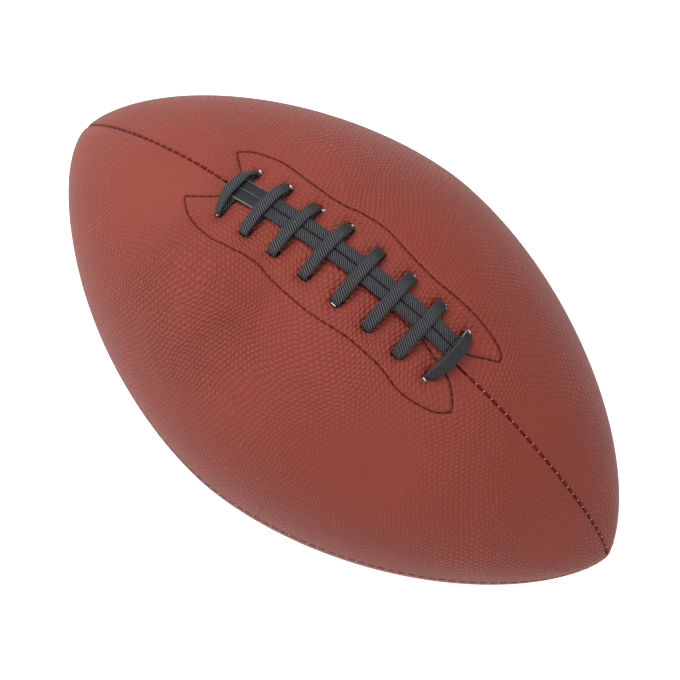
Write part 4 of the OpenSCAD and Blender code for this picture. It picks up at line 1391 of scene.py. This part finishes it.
def seam_stitches(name, node, quarter, laced):
    """Stitches in the crease of a seam, a number of quarter turns from the lacing"""
    half_run = np.interp(belly_place(LAST_STITCH_R), fine_x, fine_length)
    beats = np.arange(-math.floor(half_run / SEAM_PITCH), math.floor(half_run / SEAM_PITCH)) + 0.5
    turn = Matrix.Rotation(-quarter * math.pi / 2, 3, "X")
    template = stitch_mesh(SEAM_STITCH, SEAM_THREAD_R)
    bm = bmesh.new()
    knot_layer = bm.verts.layers.float.new("knot")
    for middle in beats * SEAM_PITCH:
        ends = np.interp([middle - SEAM_STITCH / 2, middle, middle + SEAM_STITCH / 2], fine_length, fine_x)
        if laced and abs(ends[1]) < SEAM_START + SEAM_STITCH / 2:
            continue
        k = min(1, belly(ends[1]) / SKIVE_R)
        depth = SEAM_THREAD_DEPTH + edge_roll(ends[1]) - ROLL_R
        points = [turn @ Vector(skin(x, 0.0, -depth * k, laced)) for x in ends]
        up = turn @ Vector(skin(ends[1], 0.0, 1, laced)) - points[1]
        sew(bm, template, points[0], points[2], up)
        knot_x = float(np.interp(middle + SEAM_PITCH / 2, fine_length, fine_x))
        if laced and abs(knot_x) < SEAM_START:
            continue
        place = Matrix.Translation(turn @ Vector(skin(knot_x, 0.0, KNOT_H, laced)))
        made = bmesh.ops.create_icosphere(bm, subdivisions=1, radius=KNOT_R * k, matrix=place)
        pale = 1.0 if knot_x > 0 else float(np.interp(knot_x, LEFT_KNOT_FADE, LEFT_KNOT_SHARE))
        for vert in made["verts"]:
            vert[knot_layer] = pale
    add_stitches(name, bm, template, seam_thread, "seam_thread", node)


seam_stitches("laced_seam_stitches", "seam_thread_laced", 0, True)
seam_stitches("right_seam_stitches", "seam_thread_right", 1, False)
seam_stitches("back_seam_stitches", "seam_thread_back", 2, False)
seam_stitches("left_seam_stitches", "seam_thread_left", 3, False)

# %% [markdown]
# ## Pieces that stay as they are
# Linings, tongue, bladder and valve have their true shape in the frame already. They
# only get their materials, one for each kind.

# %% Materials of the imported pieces
KEPT = {lining_cloth: ["lining_laced_left", "lining_laced_right", "lining_back_left",
                       "lining_back_right", "tongue"],
        bladder_rubber: ["bladder"],
        valve_rubber: ["valve_housing", "valve_plug"]}
for material, nodes in KEPT.items():
    for name in nodes:
        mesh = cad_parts[name].data
        mesh.materials.clear()
        mesh.materials.append(material)
print("packed pieces with a new material:", sum(len(nodes) for nodes in KEPT.values()))

# %% [markdown]
# ## Floor and light
# The photograph has a plain white ground. More light would whiten it but bleach the ball
# too, so the floor looks white to the camera by Light Path's Is Camera Ray. It still
# takes a faint shadow, because part of its look is real diffuse light. Glossy and
# transmitted rays see it the same way, so a shiny piece would show it too.

# %% Floor
FLOOR_SIZE_MM = 6000
FIBRE_MM = 3
GLOW = 0.7

floor_material, tree = new_material("matt_paper_floor")
fibre = add_node(tree, "TexNoise", {"Vector": add_node(tree, "TexCoord")["Object"],
                                    "Scale": 1 / (FIBRE_MM * MM)})["Fac"]
paper = add_node(tree, "MixRGB", {0: fibre, 1: linear("#e9e9e9"), 2: linear("#efefef")})[0]
diffuse = add_node(tree, "BsdfDiffuse", {"Color": paper})[0]
glow = add_node(tree, "Emission", {"Color": (1, 1, 1, 1), "Strength": GLOW})[0]
rays = add_node(tree, "LightPath")
seen = add_node(tree, "Math", {0: rays["Is Camera Ray"], 1: rays["Is Glossy Ray"]}, operation="MAXIMUM")[0]
seen_or_through = add_node(tree, "Math", {0: seen, 1: rays["Is Transmission Ray"]},
                           operation="MAXIMUM")[0]
lit = add_node(tree, "AddShader", {0: diffuse, 1: glow})[0]
shown = add_node(tree, "MixShader", {0: seen_or_through, 1: diffuse, 2: lit})[0]
add_node(tree, "OutputMaterial", {"Surface": shown})

bm = bmesh.new()
bmesh.ops.create_grid(bm, x_segments=4, y_segments=4, size=FLOOR_SIZE_MM * MM / 2,
                      matrix=Matrix.Translation((0, 0, -MID_R * MM)))
floor = new_object("floor", mesh_from("floor", bm))
floor.data.materials.append(floor_material)
print("floor in mm:", FLOOR_SIZE_MM, "across")

# %% [markdown]
# ### Room and lamp
# The room lights the ball from all round and is a little darker towards the right of
# the picture, as in the photograph. A gradient over the direction does that, and the
# camera still sees plain white. One large soft lamp at the upper left gives the ball
# its form. It is weak, so that a colour renders about as it is written.

# %% Room and lamp
ROOM_DARK_WAY = (0.6 * view_right + 0.3 * view_up - 0.45 * VIEW_BACK).normalized()
ROOM_LIGHT = 0.8
ROOM_DARK = 0.56
world = bpy.data.worlds.new("white_room")
bpy.context.scene.world = world
world.use_nodes = True
world.node_tree.nodes.clear()
tree = world.node_tree
rays = add_node(tree, "LightPath")
to_right = add_node(tree, "VectorMath", {0: add_node(tree, "TexCoord")["Generated"], 1: ROOM_DARK_WAY},
                    operation="DOT_PRODUCT")["Value"]
room = add_node(tree, "MapRange", {"Value": to_right, "From Min": -1.0, "From Max": 1.0,
                                   "To Min": ROOM_LIGHT, "To Max": ROOM_DARK})[0]
strength = add_node(tree, "Mix", {0: rays["Is Camera Ray"], 2: room, 3: 1.0})[0]
background = add_node(tree, "Background", {"Color": (1, 1, 1, 1), "Strength": strength})[0]
add_node(tree, "OutputWorld", {"Surface": background})


def area_lamp(name, direction, distance_mm, size_mm, watts):
    """A square soft lamp that looks at the middle of the ball"""
    data = bpy.data.lights.new(name, "AREA")
    data.size = size_mm * MM
    data.energy = watts
    lamp = new_object(name, data)
    back = Vector(direction).normalized()
    lamp.location = back * distance_mm * MM
    lamp.rotation_euler = back.to_track_quat("Z", "Y").to_euler()


key_way = -0.42 * view_right + 0.5 * view_up + 0.85 * VIEW_BACK
area_lamp("key_lamp", key_way, distance_mm=900, size_mm=600, watts=5.2)

bpy.context.scene.view_settings.view_transform = "Standard"
